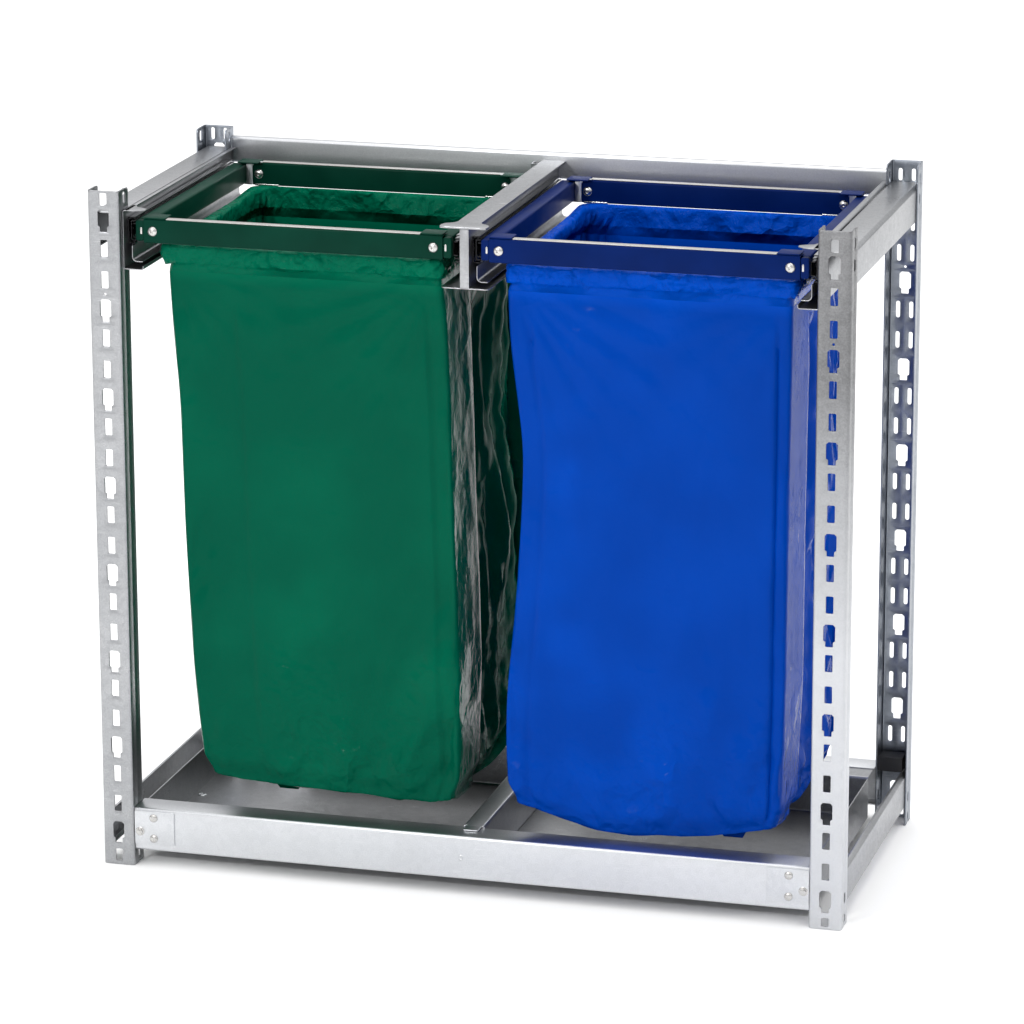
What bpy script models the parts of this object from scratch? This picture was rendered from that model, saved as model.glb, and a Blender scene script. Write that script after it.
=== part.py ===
"""Recycling bin station: a galvanised frame of perforated posts that carries two
pull-out sack frames on telescopic slides. Metres, +Z up, front at -Y, origin at
the middle of the footprint on the floor."""
import math

import bmesh
import bpy
from mathutils import Vector

MM = 0.001
COLLECTION = "recycling_bin_station"
GAP = 0.3 * MM                      # clearance kept between touching pieces

# Overall size and posts
WIDTH = 1014 * MM
DEPTH = 468 * MM
HEIGHT = 926 * MM
POST_WIDTH = 43.5 * MM
POST_DEPTH = 36 * MM
POST_WALL = 2 * MM
POST_BEND = 4 * MM

# Punching of the posts: one keyhole and two rows of slots in every period
PERIOD = 120 * MM
KEYHOLE_COUNT = 8
SLOT_ROWS = (-37 * MM, -79 * MM)
TOP_SLOT_ROW = 28 * MM
SLOT_HEIGHT = 23 * MM
TOP_SLOT_HEIGHT = 17 * MM
SLOT_WIDTH = 10 * MM
PAIR_SLOT_WIDTH = 5.5 * MM
PAIR_SLOT_OFFSET = 9 * MM
KEYHOLE_WIDTH = 15.5 * MM
KEYHOLE_HEIGHT = 30 * MM
KEYHOLE_LEG = 7 * MM
KEYHOLE_CHAMFER = 3 * MM
FIRST_KEYHOLE = {"left": 46 * MM, "right": 38 * MM}

# Beams
SHEET = 2 * MM
BEND = 3 * MM
BASE_BOTTOM = 22 * MM
BASE_TOP = 82 * MM
BASE_FRONT_FACE = 230.3 * MM
BASE_FLANGE_EDGE = 190 * MM
SIDE_BEAM_DROP = 49 * MM
TOP_SIDE_BEAM_TOP = 897 * MM
BASE_SIDE_BEAM_TOP = 74 * MM
SIDE_BEAM_LIP = 8 * MM
REAR_BEAM_TOP = 913 * MM
REAR_BEAM_BOTTOM = 877 * MM
REAR_BEAM_FACE = 220 * MM

# Floor panels and centre joist
FLOOR_TOP = 24 * MM
PANEL_SHEET = 1.5 * MM
PANEL_SIDE = 462 * MM
PANEL_SIDE_TOP = 78 * MM
PANEL_REAR = 155 * MM
PANEL_REAR_TOP = 80.5 * MM
JOIST_HALF_WIDTH = 15 * MM
JOIST_TOP = 84.3 * MM
JOIST_TONGUE_END = 208 * MM
DRAIN_RADIUS = 3.5 * MM

# Bays, slide channels and centre divider
BAY_CENTRE = 234 * MM
BAY_HALF = 228 * MM                 # bay centre to the face that a slide is fixed to
CHANNEL_SHEET = 1.2 * MM
CHANNEL_BOTTOM = 820 * MM
CHANNEL_TOP = 899 * MM
CHANNEL_FRONT = 222 * MM
CHANNEL_REAR = 218 * MM
CHANNEL_SHELF = 27 * MM
CHANNEL_LIP = 6 * MM
CHANNEL_TAB = 29 * MM
DIVIDER_TOP = 903 * MM
DIVIDER_PLATE = 2.5 * MM
DIVIDER_HALF_NECK = 16 * MM
DIVIDER_HALF_FLARE = 32 * MM

# Telescopic slides, measured from the face that they are fixed to
SLIDE_LENGTH = 400 * MM
SLIDE_FRONT = -205 * MM
SLIDE_HEIGHT_CENTRE = 869 * MM
SLIDE_SHEET = 1.2 * MM
TRAVEL = 0.40                       # full travel of a sack frame, metres

# Sack frames
BAR_HEIGHT = 32 * MM
BAR_BOTTOM = 855 * MM
BAR_DEPTH = 12 * MM
BAR_HALF_LENGTH = 203 * MM
BAR_SHEET = 2 * MM
FRONT_BAR_FACE = -215 * MM
REAR_BAR_FACE = 180 * MM
SIDE_BAR_INNER = 194 * MM
SIDE_BAR_OUTER = 214 * MM
SIDE_BAR_INSET = 2 * MM             # how much lower a side bar is, top and bottom
BOLT_OFFSET = 190.5 * MM
BOLT_RADIUS = 6.8 * MM
BOLT_HEAD = 3.5 * MM
CORNER_LENGTH = 30 * MM
CORNER_DEPTH = 26 * MM
CORNER_SHEET = 1.8 * MM
STRAP_WIDTH = 9 * MM

# Sacks and the rings that carry them
RING_RADIUS = 3 * MM
RING_HEIGHT = 847 * MM
RING_HALF_WIDTH = 184 * MM
RING_SHIFT = 8 * MM                 # the rings hang a little to the right of their bars
RING_FRONT = -198 * MM
RING_REAR = 173 * MM
RING_CORNER = 30 * MM
FILM = 1.5 * MM
SACK_TOP = 853.5 * MM
CUFF_BOTTOM = 824 * MM
SACK_BOTTOM = 92 * MM


def new_collection(name):
    """Make a collection and link it to the scene."""
    collection = bpy.data.collections.new(name)
    bpy.context.scene.collection.children.link(collection)
    return collection


def make_material(name, colour, metallic, roughness):
    """A Principled BSDF with one colour, metallic value and roughness."""
    material = bpy.data.materials.new(name)
    material.use_nodes = True
    shader = material.node_tree.nodes["Principled BSDF"]
    shader.inputs["Base Color"].default_value = (*colour, 1.0)
    shader.inputs["Metallic"].default_value = metallic
    shader.inputs["Roughness"].default_value = roughness
    return material


def arc(centre, radius, start, end, steps):
    """Points of an arc in the plane, angles in degrees."""
    points = []
    for step in range(steps + 1):
        angle = math.radians(start + (end - start) * step / steps)
        points.append(Vector((centre[0] + radius * math.cos(angle), centre[1] + radius * math.sin(angle))))
    return points


def rounded_path(corners, radius, steps=3):
    """Replace every inner corner of an open path with an arc of the given radius."""
    corners = [Vector(corner) for corner in corners]
    path = [corners[0]]
    for before, corner, after in zip(corners, corners[1:], corners[2:]):
        inward = (before - corner).normalized()
        outward = (after - corner).normalized()
        half = inward.angle(outward) / 2
        reach = radius / math.tan(half)
        centre = corner + (inward + outward).normalized() * (radius / math.sin(half))
        first = corner + inward * reach - centre
        last = corner + outward * reach - centre
        start = math.degrees(math.atan2(first.y, first.x))
        sweep = math.degrees(math.atan2(first.cross(last), first.dot(last)))
        path += arc(centre, radius, start, start + sweep, steps)
    path.append(corners[-1])
    return path


def sheet_outline(path, thickness):
    """Closed outline of a sheet whose middle line is the given open path."""
    path = [Vector(point) for point in path]
    left, right = [], []
    for index, point in enumerate(path):
        before = (point - path[index - 1]).normalized() if index else None
        after = (path[index + 1] - point).normalized() if index < len(path) - 1 else None
        along = (before or after) + (after or before)
        along.normalize()
        normal = Vector((-along.y, along.x))
        reference = after or before
        shift = normal * (thickness / 2 / abs(Vector((-reference.y, reference.x)).dot(normal)))
        left.append(point + shift)
        right.append(point - shift)
    return left + right[::-1]


def extruded(name, outline, length, along, centre):
    """Solid of a closed 2D outline, extruded along a world axis about its centre.
    The outline is read in X and Y for Z, in Y and Z for X, and in X and Z for Y."""
    curve = bpy.data.curves.new(name, "CURVE")
    curve.dimensions = "2D"
    curve.fill_mode = "BOTH"
    curve.extrude = length / 2
    spline = curve.splines.new("POLY")
    spline.points.add(len(outline) - 1)
    for point, place in zip(spline.points, outline):
        point.co = (place[0], place[1], 0.0, 1.0)
    spline.use_cyclic_u = True
    flat = bpy.data.objects.new(name + "_outline", curve)
    bpy.context.scene.collection.objects.link(flat)
    turn = {"X": (90, 0, 90), "Y": (90, 0, 0), "Z": (0, 0, 0)}[along]
    flat.rotation_euler = [math.radians(angle) for angle in turn]
    flat.location = centre
    bpy.context.view_layer.update()
    evaluated = flat.evaluated_get(bpy.context.evaluated_depsgraph_get())
    mesh = bpy.data.meshes.new_from_object(evaluated)
    weld(mesh)
    solid = bpy.data.objects.new(name, mesh)
    solid.matrix_world = flat.matrix_world
    bpy.data.objects.remove(flat)
    return solid


def weld(mesh):
    """Merge coincident points and point the faces outwards."""
    shape = bmesh.new()
    shape.from_mesh(mesh)
    bmesh.ops.remove_doubles(shape, verts=shape.verts, dist=1e-6)
    bmesh.ops.recalc_face_normals(shape, faces=shape.faces)
    shape.to_mesh(mesh)
    shape.free()


def box(name, low, high):
    """A box between two corners, from the cube primitive."""
    mesh = bpy.data.meshes.new(name)
    shape = bmesh.new()
    bmesh.ops.create_cube(shape, size=1.0)
    size = [high[axis] - low[axis] for axis in range(3)]
    bmesh.ops.scale(shape, vec=size, verts=shape.verts)
    shape.to_mesh(mesh)
    shape.free()
    solid = bpy.data.objects.new(name, mesh)
    solid.location = [(low[axis] + high[axis]) / 2 for axis in range(3)]
    return solid


def cylinder(name, radius, length, along, centre, sides=16, tip=None):
    """A cylinder, or a cone frustum with a smaller tip, along a world axis."""
    mesh = bpy.data.meshes.new(name)
    shape = bmesh.new()
    bmesh.ops.create_cone(shape, cap_ends=True, segments=sides, radius1=radius,
                          radius2=radius if tip is None else tip, depth=length)
    shape.to_mesh(mesh)
    shape.free()
    solid = bpy.data.objects.new(name, mesh)
    turn = {"X": (0, 90, 0), "Y": (90, 0, 0), "Z": (0, 0, 0)}[along]
    solid.rotation_euler = [math.radians(angle) for angle in turn]
    solid.location = centre
    return solid


class Station:
    """Holds the collections and materials, and adds finished pieces to the object."""

    def __init__(self):
        self.parts = new_collection(COLLECTION)
        self.cutters = new_collection("cutters")
        self.materials = {
            "galvanised": make_material("galvanised", (0.56, 0.57, 0.59), 0.9, 0.38),
            "slide_steel": make_material("slide_steel", (0.48, 0.49, 0.50), 1.0, 0.28),
            "bolt_zinc": make_material("bolt_zinc", (0.70, 0.70, 0.70), 1.0, 0.25),
            "green_paint": make_material("green_paint", (0.006, 0.055, 0.030), 0.0, 0.38),
            "blue_paint": make_material("blue_paint", (0.003, 0.018, 0.120), 0.0, 0.38),
            "green_film": make_material("green_film", (0.002, 0.130, 0.080), 0.0, 0.25),
            "blue_film": make_material("blue_film", (0.002, 0.052, 0.420), 0.0, 0.25),
            "black_plastic": make_material("black_plastic", (0.01, 0.01, 0.01), 0.0, 0.5),
        }

    def add(self, solid, material, parent=None):
        """Link a piece, give it its material and hang it on its parent empty."""
        self.parts.objects.link(solid)
        solid.data.materials.clear()
        solid.data.materials.append(self.materials[material])
        if parent is not None:
            bpy.context.view_layer.update()
            solid.parent = parent
            solid.matrix_parent_inverse = parent.matrix_world.inverted()
        return solid

    def combine(self, solid, tool, operation):
        """Boolean a helper solid into a piece, and hide the helper."""
        self.cutters.objects.link(tool)
        tool.hide_render = True
        tool.display_type = "WIRE"
        modifier = solid.modifiers.new(operation.lower(), "BOOLEAN")
        modifier.operation = operation
        modifier.object = tool
        modifier.solver = "EXACT"

    def empty(self, name, place):
        """An empty on a joint's axis, which the moving pieces hang on."""
        holder = bpy.data.objects.new(name, None)
        holder.location = place
        self.parts.objects.link(holder)
        return holder


def joined(name, solids):
    """One mesh object out of several separate helper solids, in world space."""
    shape = bmesh.new()
    for solid in solids:
        mesh = solid.data.copy()
        mesh.transform(solid.matrix_basis)
        shape.from_mesh(mesh)
        bpy.data.meshes.remove(mesh)
        bpy.data.objects.remove(solid)
    mesh = bpy.data.meshes.new(name)
    shape.to_mesh(mesh)
    shape.free()
    return bpy.data.objects.new(name, mesh)


def keyhole_outline():
    """Wide upper part with clipped top corners, and a narrower leg below."""
    half, leg = KEYHOLE_WIDTH / 2, SLOT_WIDTH / 2
    top, bottom = KEYHOLE_HEIGHT / 2, -KEYHOLE_HEIGHT / 2
    shoulder, clip = bottom + KEYHOLE_LEG, KEYHOLE_CHAMFER
    return [(-half, shoulder), (-leg, shoulder), (-leg, bottom), (leg, bottom), (leg, shoulder),
            (half, shoulder), (half, top - clip), (half - clip, top), (clip - half, top), (-half, top - clip)]


def post_holes(name, centre_x, web_y, first_keyhole, paired):
    """All the punched holes of one post's web, as one cutter."""
    reach = POST_WALL * 3
    cutters = []

    def slot(centre_z, height):
        offsets = (-PAIR_SLOT_OFFSET, PAIR_SLOT_OFFSET) if paired else (0.0,)
        half = (PAIR_SLOT_WIDTH if paired else SLOT_WIDTH) / 2
        for offset in offsets:
            middle = centre_x + offset
            cutters.append(box("slot", (middle - half, web_y - reach, centre_z - height / 2),
                               (middle + half, web_y + reach, centre_z + height / 2)))

    for index in range(KEYHOLE_COUNT):
        keyhole_z = first_keyhole + index * PERIOD
        cutters.append(extruded("keyhole", keyhole_outline(), 2 * reach, "Y", (centre_x, web_y, keyhole_z)))
        for row in SLOT_ROWS:
            if keyhole_z + row - SLOT_HEIGHT / 2 > 0:
                slot(keyhole_z + row, SLOT_HEIGHT)
    slot(first_keyhole + (KEYHOLE_COUNT - 1) * PERIOD + TOP_SLOT_ROW, TOP_SLOT_HEIGHT)
    return joined(name, cutters)


def build_posts(station):
    """Four channel posts: the web is on the outside, the flanges point at each other."""
    for end, sign_y in (("front", -1), ("rear", 1)):
        for side, sign_x in (("left", -1), ("right", 1)):
            name = f"{end}_{side}_post"
            centre_x = sign_x * (WIDTH - POST_WIDTH) / 2
            half = (POST_WIDTH - POST_WALL) / 2
            web_y = sign_y * (DEPTH - POST_WALL) / 2
            flange_y = sign_y * (DEPTH / 2 - POST_DEPTH)
            corners = [(centre_x - half, flange_y), (centre_x - half, web_y),
                       (centre_x + half, web_y), (centre_x + half, flange_y)]
            outline = sheet_outline(rounded_path(corners, POST_BEND - POST_WALL / 2), POST_WALL)
            post = extruded(name, outline, HEIGHT, "Z", (0, 0, HEIGHT / 2))
            station.add(post, "galvanised")
            holes = post_holes(name + "_holes", centre_x, web_y, FIRST_KEYHOLE[side], end == "rear")
            station.combine(post, holes, "DIFFERENCE")


def span_between_posts():
    """Clear width between the inner flanges of the posts."""
    return WIDTH - 2 * POST_WIDTH - 2 * GAP


def build_base_beams(station):
    """Front and rear beams of the base: a deep face, a wide top flange, a short bottom one."""
    mid = SHEET / 2
    for name, sign_y in (("bottom_front_beam", -1), ("bottom_rear_beam", 1)):
        corners = [(sign_y * BASE_FLANGE_EDGE, BASE_TOP - mid),
                   (sign_y * (BASE_FRONT_FACE - mid), BASE_TOP - mid),
                   (sign_y * (BASE_FRONT_FACE - mid), BASE_BOTTOM + mid),
                   (sign_y * (BASE_FRONT_FACE - 20 * MM), BASE_BOTTOM + mid)]
        outline = sheet_outline(rounded_path(corners, BEND), SHEET)
        station.add(extruded(name, outline, span_between_posts(), "X", (0, 0, 0)), "galvanised")


def build_side_beams(station):
    """Side beams that sit inside the posts: a wide top flange above, only lips below."""
    outer = WIDTH / 2 - POST_WALL - GAP
    inner = WIDTH / 2 - POST_WIDTH + POST_WALL + GAP
    mid = SHEET / 2
    length = DEPTH - 2 * POST_WALL - 2 * POST_BEND
    levels = (("top", TOP_SIDE_BEAM_TOP, inner), ("bottom", BASE_SIDE_BEAM_TOP, outer - SIDE_BEAM_LIP))
    for level, top, flange_edge in levels:
        for side, sign_x in (("left", -1), ("right", 1)):
            bottom = top - SIDE_BEAM_DROP
            corners = [(sign_x * flange_edge, top - mid), (sign_x * (outer - mid), top - mid),
                       (sign_x * (outer - mid), bottom + mid),
                       (sign_x * (outer - SIDE_BEAM_LIP), bottom + mid)]
            outline = sheet_outline(rounded_path(corners, BEND), SHEET)
            beam = extruded(f"{level}_{side}_side_beam", outline, length, "Y", (0, 0, 0))
            station.add(beam, "galvanised")


def build_top_rear_beam(station):
    """Rear beam at the top, its smooth face to the front and its flanges to the rear."""
    mid = SHEET / 2
    back = DEPTH / 2 - 3 * MM
    corners = [(back, REAR_BEAM_BOTTOM + mid), (REAR_BEAM_FACE + mid, REAR_BEAM_BOTTOM + mid),
               (REAR_BEAM_FACE + mid, REAR_BEAM_TOP - mid), (back, REAR_BEAM_TOP - mid)]
    outline = sheet_outline(rounded_path(corners, BEND), SHEET)
    station.add(extruded("top_rear_beam", outline, span_between_posts(), "X", (0, 0, 0)), "galvanised")


def build_floor(station):
    """Two floor panels with an outer wall and a rear wall, and the joist between them."""
    front = -(BASE_FLANGE_EDGE - GAP)
    rear_lip = BASE_FLANGE_EDGE - GAP
    mid = PANEL_SHEET / 2
    inner = JOIST_HALF_WIDTH + GAP
    for side, sign_x in (("left", -1), ("right", 1)):
        corners = [(front, FLOOR_TOP - mid), (PANEL_REAR, FLOOR_TOP - mid),
                   (PANEL_REAR, PANEL_REAR_TOP - mid), (rear_lip, PANEL_REAR_TOP - mid)]
        outline = sheet_outline(rounded_path(corners, BEND), PANEL_SHEET)
        panel = extruded(f"{side}_floor_panel", outline, PANEL_SIDE - inner, "X",
                         (sign_x * (PANEL_SIDE + inner) / 2, 0, 0))
        station.add(panel, "galvanised")
        edges = sorted((sign_x * PANEL_SIDE, sign_x * (PANEL_SIDE - PANEL_SHEET)))
        wall = box("panel_wall", (edges[0], front, FLOOR_TOP - PANEL_SHEET),
                   (edges[1], PANEL_REAR + mid, PANEL_SIDE_TOP))
        station.combine(panel, wall, "UNION")
        drain = cylinder("drain", DRAIN_RADIUS, 6 * MM, "Z", (sign_x * (PANEL_SIDE - 12 * MM), 5 * MM, FLOOR_TOP))
        station.combine(panel, drain, "DIFFERENCE")

    half, mid = JOIST_HALF_WIDTH, SHEET / 2
    foot = FLOOR_TOP - PANEL_SHEET
    corners = [(-half + mid, foot), (-half + mid, JOIST_TOP - mid), (half - mid, JOIST_TOP - mid),
               (half - mid, foot)]
    outline = sheet_outline(rounded_path(corners, BEND), SHEET)
    joist = extruded("bottom_centre_joist", outline, 2 * rear_lip, "Y", (0, 0, 0))
    station.add(joist, "galvanised")
    tongue = box("joist_tongue", (-half + 4 * MM, -JOIST_TONGUE_END, JOIST_TOP - SHEET),
                 (half - 4 * MM, JOIST_TONGUE_END, JOIST_TOP))
    station.combine(joist, tongue, "UNION")


def build_base_brackets(station):
    """End plates of the base beams, each with two rivets and the bolt to its post."""
    inner_post = WIDTH / 2 - POST_WIDTH - GAP
    for end, sign_y in (("front", -1), ("rear", 1)):
        for side, sign_x in (("left", -1), ("right", 1)):
            plate_x = sorted((sign_x * inner_post, sign_x * (inner_post - 56 * MM)))
            plate_y = sorted((sign_y * (BASE_FRONT_FACE + GAP), sign_y * (BASE_FRONT_FACE + 1.7 * MM)))
            plate = box(f"{end}_{side}_base_bracket", (plate_x[0], plate_y[0], 31 * MM),
                        (plate_x[1], plate_y[1], 78 * MM))
            station.add(plate, "galvanised")
            for inset, height, radius in ((27, 69, 4.5), (27, 40, 4.5), (7, 49, 4.5)):
                place = (sign_x * (inner_post - inset * MM), sign_y * (BASE_FRONT_FACE + 1.9 * MM), height * MM)
                head = cylinder("rivet", radius * MM, 2.8 * MM, "Y", place, sides=12)
                station.combine(plate, head, "UNION")


def build_slide_channels(station):
    """Outer channels that carry the slides, bolted to the inner flanges of the posts."""
    face = BAY_CENTRE + BAY_HALF
    mid = CHANNEL_SHEET / 2
    length = CHANNEL_FRONT + CHANNEL_REAR
    middle_y = (CHANNEL_REAR - CHANNEL_FRONT) / 2
    for side, sign_x in (("left", -1), ("right", 1)):
        web = face + mid
        corners = [(sign_x * (web - 7 * MM), CHANNEL_TOP - mid), (sign_x * web, CHANNEL_TOP - mid),
                   (sign_x * web, CHANNEL_BOTTOM + mid),
                   (sign_x * (web - CHANNEL_SHELF), CHANNEL_BOTTOM + mid),
                   (sign_x * (web - CHANNEL_SHELF), CHANNEL_BOTTOM + CHANNEL_LIP)]
        outline = sheet_outline(rounded_path(corners, 2 * MM), CHANNEL_SHEET)
        channel = extruded(f"{side}_slide_channel", outline, length, "Y", (0, middle_y, 0))
        station.add(channel, "galvanised")
        edges = sorted((sign_x * (web - 3 * MM), sign_x * (face + CHANNEL_SHEET - CHANNEL_TAB)))
        tab = box("channel_tab", (edges[0], -CHANNEL_FRONT, CHANNEL_TOP - CHANNEL_SHEET),
                  (edges[1], 28 * MM - CHANNEL_FRONT, CHANNEL_TOP))
        station.combine(channel, tab, "UNION")


def build_divider(station):
    """Centre divider: a narrow box between a flared top plate and a bottom plate."""
    half = BAY_CENTRE - BAY_HALF
    wall = 1.5 * MM
    low, high = CHANNEL_BOTTOM, DIVIDER_TOP - 1 * MM
    front, rear = -CHANNEL_FRONT, REAR_BEAM_FACE - GAP
    divider = box("centre_divider", (-half, front, low), (half, rear, high))
    station.add(divider, "galvanised")
    core = box("divider_core", (wall - half, front - 0.01, low + wall), (half - wall, rear + 0.01, high - wall))
    station.combine(divider, core, "DIFFERENCE")
    neck, flare = DIVIDER_HALF_NECK, DIVIDER_HALF_FLARE
    flare_front, flare_rear, neck_front = -230 * MM, -212 * MM, -198 * MM
    outline = [(-flare, flare_front), (flare, flare_front), (flare, flare_rear), (neck, neck_front), (neck, rear),
               (-neck, rear), (-neck, neck_front), (-flare, flare_rear)]
    top = extruded("divider_top", outline, DIVIDER_PLATE, "Z", (0, 0, DIVIDER_TOP - DIVIDER_PLATE / 2))
    station.combine(divider, top, "UNION")
    bottom = box("divider_bottom", (-flare, front, low), (flare, 200 * MM, low + wall))
    station.combine(divider, bottom, "UNION")
    build_divider_bracket(station)


def build_divider_bracket(station):
    """Angle that ties the divider's top plate to the rear beam, with its bolt."""
    inner, outer = -DIVIDER_HALF_NECK - GAP, -29 * MM
    low, high = 880 * MM, 900 * MM
    plate = box("divider_rear_bracket", (outer, 205 * MM, low), (inner, 207 * MM, high))
    station.add(plate, "galvanised")
    leg = box("bracket_leg", (outer, 206 * MM, low), (outer + SHEET, REAR_BEAM_FACE - GAP, high))
    station.combine(plate, leg, "UNION")
    head = cylinder("bracket_bolt", 4 * MM, 5 * MM, "Y", ((inner + outer) / 2, 203.5 * MM, 890 * MM), sides=6)
    station.combine(plate, head, "UNION")


def build_corner_block(station):
    """Black plastic block that sits in the foot of the rear right post."""
    inner = WIDTH / 2 - POST_WIDTH + POST_WALL + GAP
    block = box("rear_right_post_block", (inner, 200 * MM, BASE_SIDE_BEAM_TOP + 2 * MM),
                (inner + 34 * MM, DEPTH / 2 - POST_WALL - POST_BEND, BASE_SIDE_BEAM_TOP + 22 * MM))
    station.add(block, "black_plastic")


def slide_member(name, face_x, direction, corners):
    """One rail of a slide: a channel profile carried along Y.
    Corners are (distance from the fixed face, height from the slide's centre) in millimetres."""
    places = [(face_x + direction * reach * MM, SLIDE_HEIGHT_CENTRE + height * MM) for reach, height in corners]
    outline = sheet_outline(rounded_path(places, 1.2 * MM, steps=2), SLIDE_SHEET)
    return extruded(name, outline, SLIDE_LENGTH, "Y", (0, SLIDE_FRONT + SLIDE_LENGTH / 2, 0))


def build_slides(station, colour, centre_x, holders):
    """Outer, middle and inner rails on both sides of one bay."""
    outer = ((9.8, 17), (0.9, 17), (0.9, -17), (9.8, -17))
    middle = ((11.0, 13), (5.0, 13), (5.0, -13), (11.0, -13))
    inner = ((7.6, 9), (13.0, 9), (13.0, -9), (7.6, -9))
    for side, sign in (("left", -1), ("right", 1)):
        face_x = centre_x + sign * BAY_HALF
        rails = (("outer", outer, None), ("middle", middle, holders["middle"]), ("inner", inner, holders["drawer"]))
        for stage, corners, parent in rails:
            rail = slide_member(f"{colour}_{side}_{stage}_rail", face_x, -sign, corners)
            station.add(rail, "slide_steel", parent)


def build_cross_bar(station, name, centre_x, face_y, paint, parent):
    """Front or rear bar of a sack frame: a channel with its web to the front."""
    mid = BAR_SHEET / 2
    top = BAR_BOTTOM + BAR_HEIGHT
    corners = [(face_y + BAR_DEPTH, top - mid), (face_y + mid, top - mid),
               (face_y + mid, BAR_BOTTOM + mid), (face_y + BAR_DEPTH, BAR_BOTTOM + mid)]
    outline = sheet_outline(rounded_path(corners, 1.5 * MM), BAR_SHEET)
    bar = extruded(name, outline, 2 * BAR_HALF_LENGTH, "X", (centre_x, 0, 0))
    return station.add(bar, paint, parent)


def bolt_head(name, centre_x, face_y, overlap=0.0):
    """Domed bolt head in front of a bar's face."""
    length = BOLT_HEAD + overlap
    place = (centre_x, face_y - BOLT_HEAD / 2 + overlap / 2, BAR_BOTTOM + BAR_HEIGHT / 2)
    return cylinder(name, BOLT_RADIUS * 0.72, length, "Y", place, sides=18, tip=BOLT_RADIUS)


def build_side_bars(station, colour, centre_x, paint, parent):
    """Side bars: rectangular tubes, open at their ends, which carry the inner rails."""
    low, high = BAR_BOTTOM + SIDE_BAR_INSET, BAR_BOTTOM + BAR_HEIGHT - SIDE_BAR_INSET
    front, rear = FRONT_BAR_FACE + BAR_DEPTH + GAP, REAR_BAR_FACE - GAP
    for side, sign in (("left", -1), ("right", 1)):
        edges = sorted((centre_x + sign * SIDE_BAR_INNER, centre_x + sign * SIDE_BAR_OUTER))
        bar = box(f"{colour}_{side}_side_bar", (edges[0], front, low), (edges[1], rear, high))
        station.add(bar, paint, parent)
        bore = box("side_bar_bore", (edges[0] + BAR_SHEET, front - 0.01, low + BAR_SHEET),
                   (edges[1] - BAR_SHEET, rear + 0.01, high - BAR_SHEET))
        station.combine(bar, bore, "DIFFERENCE")


def build_corners(station, colour, centre_x, paint, parent):
    """Corner plates on top of the bars; the rear ones have a strap down the inner corner."""
    low = BAR_BOTTOM + BAR_HEIGHT + GAP
    high = low + CORNER_SHEET
    for side, sign in (("left", -1), ("right", 1)):
        edges = sorted((centre_x + sign * BAR_HALF_LENGTH, centre_x + sign * (BAR_HALF_LENGTH - CORNER_LENGTH)))
        front = box(f"{colour}_front_{side}_corner", (edges[0], FRONT_BAR_FACE, low),
                    (edges[1], FRONT_BAR_FACE + CORNER_DEPTH, high))
        station.add(front, paint, parent)
        back_y = REAR_BAR_FACE + BAR_DEPTH
        rear = box(f"{colour}_rear_{side}_corner", (edges[0], back_y - CORNER_DEPTH, low), (edges[1], back_y, high))
        station.add(rear, paint, parent)
        strap_x = sorted((centre_x + sign * (SIDE_BAR_INNER - GAP),
                          centre_x + sign * (SIDE_BAR_INNER - GAP - STRAP_WIDTH)))
        strap = box("corner_strap", (strap_x[0], REAR_BAR_FACE - GAP - CORNER_SHEET, BAR_BOTTOM + 1 * MM),
                    (strap_x[1], REAR_BAR_FACE - GAP, high - CORNER_SHEET / 2))
        station.combine(rear, strap, "UNION")


def rounded_rectangle(low, high, radius, steps=3):
    """Corner points of a rounded rectangle, anticlockwise from the rear right."""
    centres = ((high[0] - radius, high[1] - radius, 0), (low[0] + radius, high[1] - radius, 90),
               (low[0] + radius, low[1] + radius, 180), (high[0] - radius, low[1] + radius, 270))
    points = []
    for x, y, start in centres:
        points += arc((x, y), radius, start, start + 90, steps)
    return points


def build_ring(station, colour, centre_x, parent):
    """Wire ring that the sack's mouth is folded over, a closed curve with a round bevel."""
    middle = centre_x + RING_SHIFT
    outline = rounded_rectangle((middle - RING_HALF_WIDTH, RING_FRONT),
                                (middle + RING_HALF_WIDTH, RING_REAR), RING_CORNER)
    curve = bpy.data.curves.new(f"{colour}_ring_path", "CURVE")
    curve.dimensions = "3D"
    curve.bevel_depth = RING_RADIUS
    curve.bevel_resolution = 1
    spline = curve.splines.new("POLY")
    spline.points.add(len(outline) - 1)
    for point, place in zip(spline.points, outline):
        point.co = (place.x, place.y, RING_HEIGHT, 1.0)
    spline.use_cyclic_u = True
    ring = bpy.data.objects.new(f"{colour}_sack_ring", curve)
    station.add(ring, "galvanised", parent)


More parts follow.
